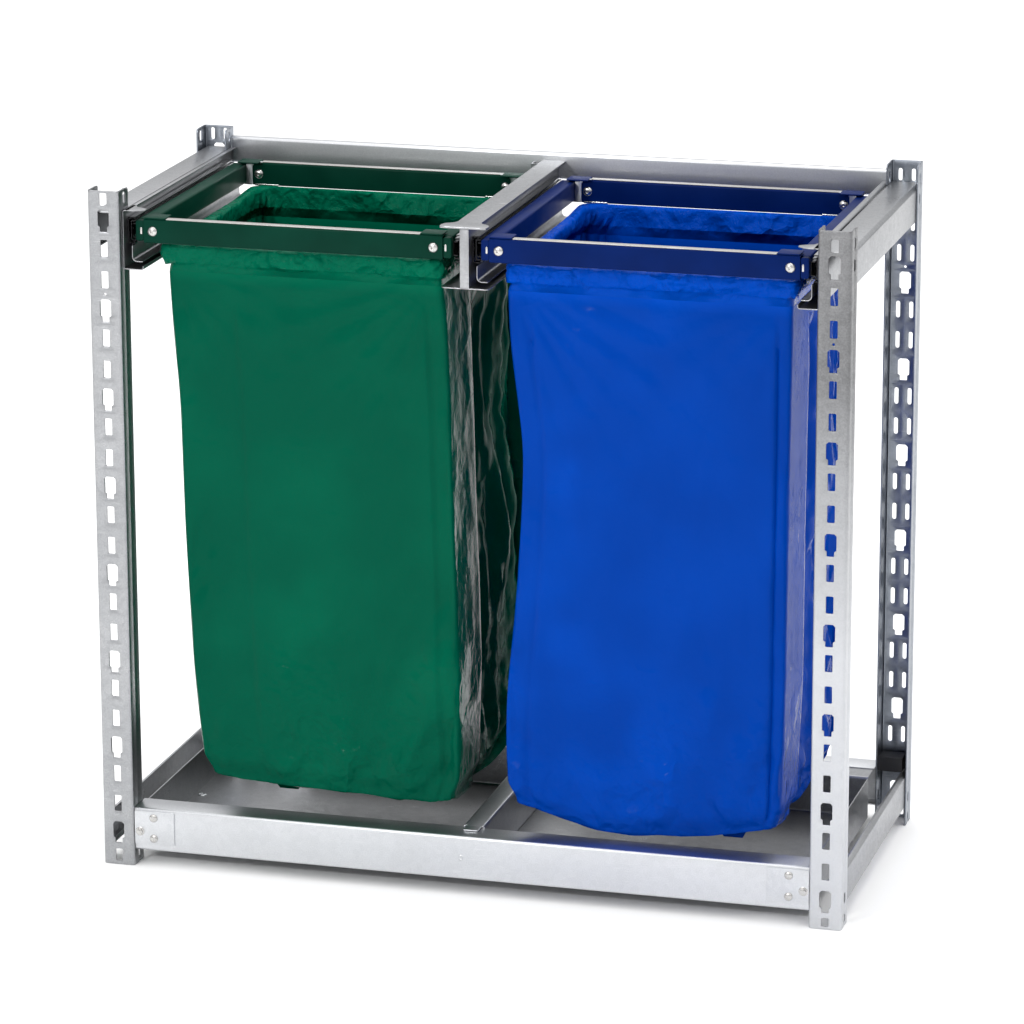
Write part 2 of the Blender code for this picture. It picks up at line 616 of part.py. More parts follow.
def sack_levels(centre_x, lean):
    """Sections of a sack from the hem of its cuff, over the ring and down to the bottom:
    (height, half width, front, rear, corner radius, sideways lean)."""
    ring = (RING_HALF_WIDTH, RING_FRONT, RING_REAR, RING_CORNER)
    cuff = RING_RADIUS + FILM + 1.5 * MM
    levels = []
    for height, offset in ((CUFF_BOTTOM, cuff + 1 * MM), (RING_HEIGHT, cuff), (SACK_TOP - 1.5 * MM, cuff - 1.5 * MM),
                           (SACK_TOP - FILM / 2, 0.0), (SACK_TOP - 1.5 * MM, 1.5 * MM - cuff),
                           (RING_HEIGHT, -cuff), (CUFF_BOTTOM, -cuff)):
        levels.append((height, ring[0] + offset, ring[1] - offset, ring[2] + offset, ring[3] + offset, 0.0))
    body = ((0.80, 180, -192, 170, 26, 0.1), (0.55, 180, -196, 170, 30, 0.5), (0.25, 184, -198, 172, 34, 1.0),
            (0.135, 182, -190, 168, 40, 1.0), (0.0, 150, -160, 150, 46, 1.0))
    for height, half, front, rear, corner, share in body:
        level = height if height else SACK_BOTTOM
        levels.append((level, half * MM, front * MM, rear * MM, corner * MM, lean * share))
    return [(height, centre_x + RING_SHIFT + shift, half, front, rear, corner)
            for height, half, front, rear, corner, shift in levels]


def build_sack(station, colour, centre_x, lean, parent):
    """Plastic sack folded over its ring: a loft between unlike sections, open at the top,
    thickened inwards and outwards by Solidify."""
    mesh = bpy.data.meshes.new(f"{colour}_sack")
    shape = bmesh.new()
    loops = []
    for height, middle, half, front, rear, corner in sack_levels(centre_x, lean):
        outline = rounded_rectangle((middle - half, front), (middle + half, rear), corner)
        loops.append([shape.verts.new((point.x, point.y, height)) for point in outline])
    for upper, lower in zip(loops, loops[1:]):
        for index in range(len(upper)):
            following = (index + 1) % len(upper)
            shape.faces.new((upper[index], upper[following], lower[following], lower[index]))
    shape.faces.new(loops[-1])
    bmesh.ops.recalc_face_normals(shape, faces=shape.faces)
    shape.to_mesh(mesh)
    shape.free()
    sack = bpy.data.objects.new(f"{colour}_sack", mesh)
    station.add(sack, f"{colour}_film", parent)
    wall = sack.modifiers.new("film", "SOLIDIFY")
    wall.thickness = FILM
    wall.offset = 0.0
    wall.use_even_offset = True


def build_sack_frame(station, colour, centre_x, lean):
    """Everything in one bay: slides, the four bars, corners, bolts, ring and sack."""
    paint = f"{colour}_paint"
    axis_place = (centre_x, FRONT_BAR_FACE, SLIDE_HEIGHT_CENTRE)
    holders = {"drawer": station.empty(f"{colour}_drawer_axis", axis_place),
               "middle": station.empty(f"{colour}_middle_axis", axis_place)}
    drawer = holders["drawer"]
    build_slides(station, colour, centre_x, holders)
    build_cross_bar(station, f"{colour}_front_bar", centre_x, FRONT_BAR_FACE, paint, drawer)
    rear_bar = build_cross_bar(station, f"{colour}_rear_bar", centre_x, REAR_BAR_FACE, paint, drawer)
    for side, sign in (("left", -1), ("right", 1)):
        bolt_x = centre_x + sign * BOLT_OFFSET
        bolt = bolt_head(f"{colour}_front_{side}_bolt", bolt_x, FRONT_BAR_FACE - GAP)
        station.add(bolt, "bolt_zinc", drawer)
        rear_x = centre_x + sign * (BOLT_OFFSET - 14 * MM)
        station.combine(rear_bar, bolt_head("rear_bolt", rear_x, REAR_BAR_FACE, overlap=1 * MM), "UNION")
    build_side_bars(station, colour, centre_x, paint, drawer)
    build_corners(station, colour, centre_x, paint, drawer)
    build_ring(station, colour, centre_x, drawer)
    build_sack(station, colour, centre_x, lean, drawer)


def main():
    """Clear the scene and model the station."""
    for existing in list(bpy.data.objects):
        bpy.data.objects.remove(existing)
    station = Station()
    build_posts(station)
    build_base_beams(station)
    build_side_beams(station)
    build_top_rear_beam(station)
    build_floor(station)
    build_base_brackets(station)
    build_slide_channels(station)
    build_divider(station)
    build_corner_block(station)
    build_sack_frame(station, "green", -BAY_CENTRE, 15 * MM)
    build_sack_frame(station, "blue", BAY_CENTRE, -9 * MM)
    bpy.context.view_layer.update()


main()
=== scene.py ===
"""Recycling bin station: the visual model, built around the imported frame.

Laid out as an add-on and run as a script. Metres, +Z up, front at -Y, origin on the
floor under the middle of the station."""

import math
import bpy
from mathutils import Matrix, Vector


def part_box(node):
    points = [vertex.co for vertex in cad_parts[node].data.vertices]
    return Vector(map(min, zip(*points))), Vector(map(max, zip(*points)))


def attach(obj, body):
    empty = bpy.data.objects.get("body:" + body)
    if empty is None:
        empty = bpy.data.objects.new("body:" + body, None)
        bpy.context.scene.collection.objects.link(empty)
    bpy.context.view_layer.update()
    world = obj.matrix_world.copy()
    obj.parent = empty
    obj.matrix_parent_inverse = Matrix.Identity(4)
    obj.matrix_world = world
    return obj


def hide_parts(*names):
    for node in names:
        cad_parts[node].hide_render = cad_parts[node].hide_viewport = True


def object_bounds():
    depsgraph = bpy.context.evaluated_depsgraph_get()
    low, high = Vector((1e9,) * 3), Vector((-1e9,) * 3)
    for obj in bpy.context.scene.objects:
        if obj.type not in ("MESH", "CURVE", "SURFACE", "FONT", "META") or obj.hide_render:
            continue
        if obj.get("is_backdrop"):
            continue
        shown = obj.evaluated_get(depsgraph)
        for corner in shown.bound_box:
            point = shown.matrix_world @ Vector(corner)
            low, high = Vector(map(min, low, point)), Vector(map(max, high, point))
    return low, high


bl_info = {
    "name": "Recycling Bin Station",
    "version": (1, 0, 0),
    "blender": (4, 5, 0),
    "location": "3D View > Sidebar > Bin Station",
    "description": "Galvanised post frame with two pull-out sack holders and their sacks",
    "category": "Add Mesh",
}

import bmesh
import bpy
import numpy as np
from bpy.props import FloatProperty, FloatVectorProperty, PointerProperty
from mathutils import Matrix

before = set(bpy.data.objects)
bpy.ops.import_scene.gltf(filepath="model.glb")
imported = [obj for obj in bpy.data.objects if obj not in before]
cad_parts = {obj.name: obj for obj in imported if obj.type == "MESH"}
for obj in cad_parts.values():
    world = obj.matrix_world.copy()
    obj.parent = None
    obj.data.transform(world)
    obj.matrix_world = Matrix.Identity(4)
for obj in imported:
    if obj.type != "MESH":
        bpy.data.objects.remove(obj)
CAD_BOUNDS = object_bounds()
MM = 0.001
SIDES = (("left", -1), ("right", 1))
COLOURS = ("green", "blue")
PREFIX = "station_"
COAT_GLOSS, FILM_GLOSS = 0.05, 0.03


# ---------------------------------------------------------------- settings

def length(name, description, default, low=0.0, high=10.0):
    """A length property in metres."""
    return FloatProperty(name=name, description=description, default=default, min=low, max=high,
                         unit="LENGTH", subtype="DISTANCE", precision=5)


def tone(name, description, default):
    """A colour property, scene linear."""
    return FloatVectorProperty(name=name, description=description, default=default, size=3,
                               min=0.0, max=1.0, subtype="COLOR")


def share(name, description, default):
    """A plain factor from 0 to 1."""
    return FloatProperty(name=name, description=description, default=default, min=0.0, max=1.0,
                         subtype="FACTOR")


class StationSteelSettings(bpy.types.PropertyGroup):
    """Sizes and finishes of the galvanised frame."""
    wall: length("Sheet", "Thickness of posts and beams", 2.0 * MM)
    bend: length("Bend", "Middle radius of a fold in the sheet", 3.0 * MM)
    edge: length("Edge round", "Rounding of the cut edges", 0.35 * MM)
    bead: length("Bead depth", "Depth of the grooves rolled into a post", 0.7 * MM)
    bright: tone("Bright zinc", "Lighter tone of the zinc", (0.72, 0.73, 0.75))
    dull: tone("Dull zinc", "Darker tone of the zinc", (0.53, 0.54, 0.56))
    post: share("Post tone", "How bright the posts and side beams are against the beams", 0.57)
    # The rear posts' darker, faintly bluish tone is painted shade of their hollow inner side.
    rear: share("Rear post tone", "How bright the rear posts are against the beams", 0.46)
    pan: share("Floor pan tone", "How bright the floor pans are against the beams", 0.56)
    # Dark tone of the front right post: painted reflection of dark surroundings; its coarse grain is the zinc's own.
    dark_reflection_tone: tone("Weathered zinc", "Tone of the older, coarse grained post", (0.115, 0.115, 0.117))
    grain: length("Grain", "Size of the zinc's grain", 1.6 * MM)
    roughness: share("Roughness", "Roughness of the zinc", 0.36)


class StationPaintSettings(bpy.types.PropertyGroup):
    """Powder coat of the sack frames."""
    green: tone("Green coat", "Powder coat of the green sack frame", (0.001, 0.028, 0.017))
    blue: tone("Blue coat", "Powder coat of the blue sack frame", (0.0006, 0.010, 0.078))


class StationSackSettings(bpy.types.PropertyGroup):
    """Film of the sacks."""
    green: tone("Green film", "Colour of the green film", (0.000, 0.074, 0.041))
    blue: tone("Blue film", "Colour of the blue film", (0.000, 0.037, 0.285))
    film: length("Film", "Thickness of the film as modelled", 0.6 * MM)
    cuff: length("Cuff", "Depth of the cuff folded over the ring", 27 * MM)
    crumple: length("Crumple", "Height of the creases on the sides", 9 * MM)


class StationStageSettings(bpy.types.PropertyGroup):
    """Camera, floor and lights."""
    azimuth: FloatProperty(name="Azimuth", description="Camera's turn about the station, in degrees", default=15.634)
    elevation: FloatProperty(name="Elevation", description="Camera's height above the horizon, in degrees",
                             default=15.406)
    roll: FloatProperty(name="Roll", description="Camera's turn about its own axis, in degrees", default=-0.168)
    distance: length("Distance", "Distance from the camera to its target", 6.528, high=50.0)
    height: length("Target height", "Height of the camera's target", 0.4653)
    lens: FloatProperty(name="Lens", description="Focal length in millimetres on a 36 mm sensor", default=170.95)
    floor: tone("Floor", "Colour of the floor", (0.96, 0.96, 0.96))
    sky: FloatProperty(name="Sky", description="Strength of the surrounding light", default=1.0, min=0.0)


# ---------------------------------------------------------------- meshes

def cells(rows, columns, wrap=False):
    """Corner numbers of the quads between rows x columns of points. The numbers run along each
    row first; wrap also joins the last column to the first."""
    row = np.arange(rows - 1)[:, None]
    column = np.arange(columns if wrap else columns - 1)[None, :]
    after = (column + 1) % columns
    first, second = row * columns + column, row * columns + after
    return np.stack([first, second, second + columns, first + columns], -1).reshape(-1, 4)


def joined(*sheets):
    """Several (points, faces) pairs as one, the later faces counted on past the earlier points."""
    points, faces, count = [], [], 0
    for sheet_points, sheet_faces in sheets:
        sheet_points = np.asarray(sheet_points, float).reshape(-1, 3)
        points.append(sheet_points)
        faces.append(np.asarray(sheet_faces) + count)
        count += len(sheet_points)
    return np.concatenate(points), np.concatenate(faces)


def raw_mesh(name, points, faces, caps=()):
    """A mesh from an array of points and an array of quads, with optional many-sided caps."""
    mesh = bpy.data.meshes.new(name)
    quads = np.asarray(faces, np.int32).reshape(-1, 4) if len(faces) else np.zeros((0, 4), np.int32)
    corners = np.concatenate([quads.ravel()] + [np.asarray(cap, np.int32) for cap in caps])
    sizes = np.concatenate([np.full(len(quads), 4, np.int32), np.array([len(cap) for cap in caps], np.int32)])
    starts = np.concatenate([[0], np.cumsum(sizes)[:-1]]).astype(np.int32)
    mesh.vertices.add(len(points))
    mesh.vertices.foreach_set("co", np.asarray(points, np.float32).ravel())
    mesh.loops.add(len(corners))
    mesh.loops.foreach_set("vertex_index", corners.astype(np.int32))
    mesh.polygons.add(len(sizes))
    mesh.polygons.foreach_set("loop_start", starts)
    mesh.update(calc_edges=True)
    mesh.validate()
    return mesh


def tidy(mesh, merge):
    """Merge points closer than the given distance, drop flat faces, and point the faces outwards."""
    shape = bmesh.new()
    shape.from_mesh(mesh)
    bmesh.ops.remove_doubles(shape, verts=shape.verts, dist=merge)
    bmesh.ops.dissolve_degenerate(shape, dist=merge * 0.2, edges=shape.edges)
    bmesh.ops.recalc_face_normals(shape, faces=shape.faces)
    shape.to_mesh(mesh)
    shape.free()


def piece(name, surface, body, material, replaces=(), wall=0.0, edge=0.0, merge=0.01 * MM,
          crease=35.0, even=True):
    """Finish a surface, with caps or without, into one visible piece: merge, give it a wall, round
    its cut edges, freeze the result, shade it smooth but for sharp creases, and tie it to its body
    and its finish."""
    mesh = raw_mesh(name, *surface)
    tidy(mesh, merge)
    solid = bpy.data.objects.new(name, mesh)
    bpy.context.scene.collection.objects.link(solid)
    if wall:
        thick = solid.modifiers.new("wall", "SOLIDIFY")
        thick.thickness, thick.offset, thick.use_even_offset = wall, 0.0, even
    if edge:
        bevel = solid.modifiers.new("edge", "BEVEL")
        bevel.width, bevel.segments, bevel.limit_method = edge, 2, "ANGLE"
        bevel.angle_limit = math.radians(50)
        bevel.use_clamp_overlap = True
    bpy.context.view_layer.update()
    frozen = bpy.data.meshes.new_from_object(solid.evaluated_get(bpy.context.evaluated_depsgraph_get()))
    solid.modifiers.clear()
    solid.data = frozen
    bpy.data.meshes.remove(mesh)
    frozen.name = name
    frozen.polygons.foreach_set("use_smooth", np.ones(len(frozen.polygons), bool))
    frozen.set_sharp_from_angle(angle=math.radians(crease))
    frozen.materials.clear()
    frozen.materials.append(finish(material))
    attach(solid, body)
    if replaces:
        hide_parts(*replaces)
    return solid


def corners_of(node):
    """Lowest and highest corner of a CAD node as two arrays."""
    low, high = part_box(node)
    return np.array(low, float), np.array(high, float)


def lift(flat, along, axis):
    """Points (p, q) of a flat path at a place along an axis, as (x, y, z): p and q are Y and Z for
    axis X, X and Z for axis Y, and X and Y for axis Z."""
    p, q = flat[..., 0], flat[..., 1]
    along = np.broadcast_to(along, p.shape)
    order = {"X": (along, p, q), "Y": (p, along, q), "Z": (p, q, along)}[axis]
    return np.stack(order, -1)


def rounded(corners, radius, steps=6, closed=False):
    """Path through the corners with each corner replaced by an arc: the arc's centre plus the
    radius turned in even steps from one tangent to the other. A closed path rounds every corner."""
    corners = np.asarray(corners, float)
    ring = np.concatenate([corners[-1:], corners, corners[:1]]) if closed else corners
    parts = [] if closed else [corners[:1]]
    for before, corner, after in zip(ring, ring[1:], ring[2:]):
        inward = (before - corner) / np.linalg.norm(before - corner)
        outward = (after - corner) / np.linalg.norm(after - corner)
        half = math.acos(float(np.clip(inward @ outward, -1, 1))) / 2
        if radius <= 0 or half > 1.55:
            parts.append(corner[None])
            continue
        centre = corner + (inward + outward) / np.linalg.norm(inward + outward) * radius / math.sin(half)
        first = corner + inward * radius / math.tan(half) - centre
        last = corner + outward * radius / math.tan(half) - centre
        turn = math.atan2(first[0] * last[1] - first[1] * last[0], first @ last)
        angle = turn * np.linspace(0, 1, steps + 1)
        arc = np.stack([np.cos(angle) * first[0] - np.sin(angle) * first[1],
                        np.sin(angle) * first[0] + np.cos(angle) * first[1]], -1)
        parts.append(centre + arc)
    if not closed:
        parts.append(corners[-1:])
    return np.concatenate(parts)


def folded(path, start, end, axis, stations=2):
    """Sheet: an open flat path carried in a straight line along an axis, one row per station."""
    along = np.linspace(start, end, stations)[:, None]
    flat = np.broadcast_to(path, (stations,) + path.shape)
    return lift(flat, along, axis).reshape(-1, 3), cells(stations, len(path))


def slab(outline, low, high, axis):
    """Plate: a closed outline at two places along an axis, walled between and capped at both."""
    count = len(outline)
    points = np.concatenate([lift(outline, low, axis), lift(outline, high, axis)])
    caps = (np.arange(count)[::-1], np.arange(count) + count)
    return points, cells(2, count, wrap=True), caps


def turned(profile, centre, axis, sides=28):
    """Surface of revolution: each profile point (radius, height) swept round an axis through the
    centre; a radius of nought closes the pole."""
    profile = np.asarray(profile, float)
    angle = np.linspace(0, 2 * math.pi, sides, endpoint=False)[None, :]
    flat = np.stack([profile[:, :1] * np.cos(angle), profile[:, :1] * np.sin(angle)], -1)
    points = lift(flat, np.broadcast_to(profile[:, 1:], flat.shape[:2]), axis).reshape(-1, 3)
    return points + np.asarray(centre, float), cells(len(profile), sides, wrap=True)


def dome(radius, height):
    """Profile of a domed head standing on height 0: a quarter ellipse from the pole to the rim."""
    angle = np.linspace(0, math.pi / 2, 6)
    curve = np.stack([radius * np.sin(angle), height * np.cos(angle)], -1)
    return np.concatenate([curve, [[radius, -0.6 * MM], [0.0, -0.6 * MM]]])


def rectangle(low, high):
    """Corners of a rectangle, anticlockwise."""
    return [(low[0], low[1]), (high[0], low[1]), (high[0], high[1]), (low[0], high[1])]


# ---------------------------------------------------------------- finishes

class Tree:
    """Short hand for putting nodes into a material's or a group's tree."""

    def __init__(self, tree):
        self.tree = tree

    def add(self, kind, inputs=None, **settings):
        """A node of a kind, with attributes set, and its inputs set or linked."""
        made = self.tree.nodes.new(kind)
        for key, value in settings.items():
            setattr(made, key, value)
        for key, value in (inputs or {}).items():
            if isinstance(value, bpy.types.NodeSocket):
                self.tree.links.new(value, made.inputs[key])
            else:
                made.inputs[key].default_value = value
        return made

    def maths(self, operation, first, second=None, clamp=False):
        """The result of a Math node."""
        made = self.add("ShaderNodeMath", operation=operation, use_clamp=clamp)
        for number, value in enumerate((first, second)):
            if isinstance(value, bpy.types.NodeSocket):
                self.tree.links.new(value, made.inputs[number])
            elif value is not None:
                made.inputs[number].default_value = value
        return made.outputs[0]

    def mix(self, factor, first, second, blend="MIX"):
        """A colour mix."""
        made = self.add("ShaderNodeMix", data_type="RGBA", blend_type=blend)
        for key, value in (("Factor", factor), ("A", first), ("B", second)):
            number = {"Factor": 0, "A": 6, "B": 7}[key]
            if isinstance(value, bpy.types.NodeSocket):
                self.tree.links.new(value, made.inputs[number])
            else:
                made.inputs[number].default_value = value
        return made.outputs[2]

    def span(self, value, low, high, to_low, to_high):
        """A value mapped from one range to another, clamped."""
        made = self.add("ShaderNodeMapRange", {"Value": value, "From Min": low, "From Max": high,
                                               "To Min": to_low, "To Max": to_high})
        return made.outputs[0]


def group(name, inputs, outputs):
    """A node group with named inputs (name, kind, default) and outputs (name, kind)."""
    tree = bpy.data.node_groups.new(name, "ShaderNodeTree")
    for label, kind, default in inputs:
        made = tree.interface.new_socket(name=label, in_out="INPUT", socket_type=kind)
        if default is not None:
            made.default_value = default
    for label, kind in outputs:
        tree.interface.new_socket(name=label, in_out="OUTPUT", socket_type=kind)
    entry = tree.nodes.new("NodeGroupInput")
    leave = tree.nodes.new("NodeGroupOutput")
    return Tree(tree), entry.outputs, leave.inputs


def build_zinc_group():
    """Galvanised zinc: fine grain, crystal patches about six grains wide and slow clouds of tone."""
    tree, given, out = group("zinc", [("Vector", "NodeSocketVector", None), ("Grain", "NodeSocketFloat", 600.0),
                                      ("Contrast", "NodeSocketFloat", 1.0),
                                      ("Bright", "NodeSocketColor", (0.7, 0.7, 0.7, 1)),
                                      ("Dull", "NodeSocketColor", (0.5, 0.5, 0.5, 1)),
                                      ("Smooth", "NodeSocketFloat", 0.28), ("Rough", "NodeSocketFloat", 0.46)],
                             [("Color", "NodeSocketColor"), ("Roughness", "NodeSocketFloat"),
                              ("Height", "NodeSocketFloat")])
    grain = tree.add("ShaderNodeTexNoise", {"Vector": given["Vector"], "Scale": given["Grain"], "Detail": 3.0,
                                            "Roughness": 0.6}).outputs["Fac"]
    coarse = tree.maths("MULTIPLY", given["Grain"], 0.22)
    crystal = tree.add("ShaderNodeTexVoronoi", {"Vector": given["Vector"], "Scale": coarse},
                       feature="F1").outputs["Color"]
    patch = tree.add("ShaderNodeSeparateColor", {"Color": crystal}).outputs[0]
    cloud = tree.add("ShaderNodeTexNoise", {"Vector": given["Vector"], "Scale": 9.0, "Detail": 2.0}).outputs["Fac"]
    swing = tree.maths("ADD", tree.maths("MULTIPLY", tree.maths("SUBTRACT", grain, 0.5), 1.9),
                       tree.maths("MULTIPLY", tree.maths("SUBTRACT", patch, 0.5), 0.28))
    swing = tree.maths("ADD", swing, tree.maths("MULTIPLY", tree.maths("SUBTRACT", cloud, 0.5), 0.9))
    level = tree.maths("ADD", tree.maths("MULTIPLY", swing, given["Contrast"]), 0.5, clamp=True)
    tree.tree.links.new(tree.mix(level, given["Dull"], given["Bright"]), out["Color"])
    blend = tree.add("ShaderNodeMix", data_type="FLOAT")
    tree.tree.links.new(level, blend.inputs[0])
    tree.tree.links.new(given["Rough"], blend.inputs[2])
    tree.tree.links.new(given["Smooth"], blend.inputs[3])
    tree.tree.links.new(blend.outputs[0], out["Roughness"])
    tree.tree.links.new(grain, out["Height"])
    return tree.tree


def build_scuff_group():
    """Handling marks: thin streaks from a noise stretched along one axis, strong only in patches."""
    tree, given, out = group("scuffs", [("Vector", "NodeSocketVector", None), ("Amount", "NodeSocketFloat", 0.5)],
                             [("Mask", "NodeSocketFloat")])
    stretch = tree.add("ShaderNodeMapping", {"Vector": given["Vector"], "Scale": (30.0, 60.0, 700.0)})
    streak = tree.add("ShaderNodeTexNoise", {"Vector": stretch.outputs[0], "Scale": 1.0, "Detail": 2.0})
    where = tree.add("ShaderNodeTexNoise", {"Vector": given["Vector"], "Scale": 14.0, "Detail": 1.0})
    line = tree.span(streak.outputs["Fac"], 0.60, 0.74, 0.0, 1.0)
    spot = tree.span(where.outputs["Fac"], 0.50, 0.66, 0.0, 1.0)
    mask = tree.maths("MULTIPLY", tree.maths("MULTIPLY", line, spot), given["Amount"])
    tree.tree.links.new(mask, out["Mask"])
    return tree.tree


def build_coat_group():
    """Powder coat: an orange-peel height and a faint cloud of tone about the base colour."""
    tree, given, out = group("powder_coat", [("Vector", "NodeSocketVector", None),
                                             ("Base", "NodeSocketColor", (0.1, 0.1, 0.1, 1))],
                             [("Color", "NodeSocketColor"), ("Roughness", "NodeSocketFloat"),
                              ("Height", "NodeSocketFloat")])
    peel = tree.add("ShaderNodeTexNoise", {"Vector": given["Vector"], "Scale": 420.0, "Detail": 2.0}).outputs["Fac"]
    cloud = tree.add("ShaderNodeTexNoise", {"Vector": given["Vector"], "Scale": 16.0, "Detail": 3.0}).outputs["Fac"]
    lighter = tree.mix(1.0, given["Base"], (1.5, 1.5, 1.5, 1), "MULTIPLY")
    shade = tree.mix(tree.span(cloud, 0.35, 0.7, 0.0, 0.6), given["Base"], lighter)
    tree.tree.links.new(shade, out["Color"])
    tree.tree.links.new(tree.span(cloud, 0.3, 0.7, 0.30, 0.42), out["Roughness"])
    tree.tree.links.new(peel, out["Height"])
    return tree.tree


def build_film_group():
    """Thin film: creases as the edges of bent cells at two sizes, over a slow ripple. Its colour is lightened in
    patches, soft ones by the ripple and sharp-edged ones by slanted facets: painted light of a crumpled sheet.
    """
    tree, given, out = group("film", [("Vector", "NodeSocketVector", None),
                                      ("Base", "NodeSocketColor", (0.1, 0.1, 0.1, 1))],
                             [("Color", "NodeSocketColor"), ("Roughness", "NodeSocketFloat"),
                              ("Height", "NodeSocketFloat")])
    bend = tree.add("ShaderNodeTexNoise", {"Vector": given["Vector"], "Scale": 18.0, "Detail": 3.0})
    warp = tree.add("ShaderNodeVectorMath", operation="MULTIPLY_ADD")
    tree.tree.links.new(bend.outputs["Color"], warp.inputs[0])
    warp.inputs[1].default_value = (0.05, 0.05, 0.05)
    tree.tree.links.new(given["Vector"], warp.inputs[2])
    large = tree.add("ShaderNodeTexVoronoi", {"Vector": warp.outputs[0], "Scale": 17.0}, feature="F1")
    small = tree.add("ShaderNodeTexVoronoi", {"Vector": warp.outputs[0], "Scale": 55.0}, feature="F1")
    fine = tree.add("ShaderNodeTexNoise", {"Vector": warp.outputs[0], "Scale": 90.0, "Detail": 4.0,
                                           "Roughness": 0.55}).outputs["Fac"]
    ripple = tree.add("ShaderNodeTexNoise", {"Vector": given["Vector"], "Scale": 7.0, "Detail": 2.0}).outputs["Fac"]
    where = tree.span(ripple, 0.42, 0.62, 0.15, 1.0)
    slant = tree.add("ShaderNodeMapping", {"Vector": warp.outputs[0], "Rotation": (0.0, 0.6, 0.0),
                                           "Scale": (9.0, 9.0, 5.0)})
    patches = tree.add("ShaderNodeTexVoronoi", {"Vector": slant.outputs[0], "Scale": 1.0}, feature="SMOOTH_F1")
    facet = tree.add("ShaderNodeSeparateColor", {"Color": patches.outputs["Color"]}).outputs[0]
    height = tree.maths("ADD", tree.maths("MULTIPLY", large.outputs["Distance"], 1.0),
                        tree.maths("MULTIPLY", small.outputs["Distance"], 0.28))
    height = tree.maths("ADD", tree.maths("MULTIPLY", height, where), tree.maths("MULTIPLY", fine, 0.16))
    # Painted light: lighter soft patches from the ripple and sharp-edged ones from the facets.
    lighter = tree.mix(1.0, given["Base"], (1.40, 1.34, 1.30, 1), "MULTIPLY")
    painted_light_patches = tree.maths("ADD", tree.span(ripple, 0.35, 0.68, 0.0, 0.55),
                         tree.maths("MULTIPLY", tree.span(facet, 0.35, 0.9, 0.0, 0.55), where), clamp=True)
    tree.tree.links.new(tree.mix(painted_light_patches, given["Base"], lighter), out["Color"])
    tree.tree.links.new(tree.span(fine, 0.3, 0.7, 0.10, 0.20), out["Roughness"])
    tree.tree.links.new(height, out["Height"])
    return tree.tree


def new_material(name):
    """An empty material with its Principled BSDF and Object coordinates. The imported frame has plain
    materials of its own, so these carry a prefix, and a name already taken is an error."""
    material = bpy.data.materials.new(PREFIX + name)
    if material.name != PREFIX + name:
        raise RuntimeError(f"the name {PREFIX + name} is already taken")
    material.use_nodes = True
    tree = Tree(material.node_tree)
    shader = material.node_tree.nodes["Principled BSDF"]
    place = tree.add("ShaderNodeTexCoord").outputs["Object"]
    return material, tree, shader, place


def place_group(tree, name, **inputs):
    """A node group put into a material with its own values."""
    made = tree.add("ShaderNodeGroup", node_tree=bpy.data.node_groups[name])
    for key, value in inputs.items():
        if isinstance(value, bpy.types.NodeSocket):
            tree.tree.links.new(value, made.inputs[key])
        else:
            made.inputs[key].default_value = value
    return made.outputs


def bumped(tree, shader, height, strength, distance):
    """Feed a height through a Bump node to the shader's normal."""
    bump = tree.add("ShaderNodeBump", {"Height": height, "Strength": strength, "Distance": distance})
    tree.tree.links.new(bump.outputs["Normal"], shader.inputs["Normal"])


def zinc_material(name, bright, dull, grain, contrast, smooth, rough, bump, scuffs=0.35, fade=None,
                  fade_to=(0.56, 0.57, 0.59), dark_end=None):
    """Zinc on steel in a given tone, with handling marks that are a little brighter."""
    material, tree, shader, place = new_material(name)
    zinc = place_group(tree, "zinc", Vector=place, Grain=1.0 / grain, Contrast=contrast,
                       Bright=(*bright, 1), Dull=(*dull, 1), Smooth=smooth, Rough=rough)
    marks = place_group(tree, "scuffs", Vector=place, Amount=scuffs)["Mask"]
    colour = tree.mix(marks, zinc["Color"], (0.82, 0.82, 0.83, 1))
    # Where fade is given, the colour runs from fade_to low down to the zinc's own tone higher up: on the front right
    # post this is painted reflection, darker towards the top.
    if fade:
        height = tree.add("ShaderNodeSeparateXYZ", {"Vector": place}).outputs["Z"]
        colour = tree.mix(tree.span(height, fade[0], fade[1], 0.0, 0.85), (*fade_to, 1), colour)
    if dark_end is not None:
        reach = tree.add("ShaderNodeSeparateXYZ", {"Vector": place}).outputs["Y"]
        colour = tree.mix(tree.span(reach, dark_end, dark_end + 3 * MM, 0.0, 1.0), (0.03, 0.03, 0.032, 1), colour)
    tree.tree.links.new(colour, shader.inputs["Base Color"])
    tree.tree.links.new(zinc["Roughness"], shader.inputs["Roughness"])
    shader.inputs["Metallic"].default_value = 1.0
    bumped(tree, shader, zinc["Height"], bump, 0.25 * MM)
    return material


def coat_material(name, colour):
    """Satin powder coat in a given colour."""
    material, tree, shader, place = new_material(name)
    coat = place_group(tree, "powder_coat", Vector=place, Base=(*colour, 1))
    tree.tree.links.new(coat["Color"], shader.inputs["Base Color"])
    tree.tree.links.new(coat["Roughness"], shader.inputs["Roughness"])
    shader.inputs["IOR"].default_value = 1.5
    shader.inputs["Specular IOR Level"].default_value = COAT_GLOSS
    bumped(tree, shader, coat["Height"], 0.10, 0.1 * MM)
    return material


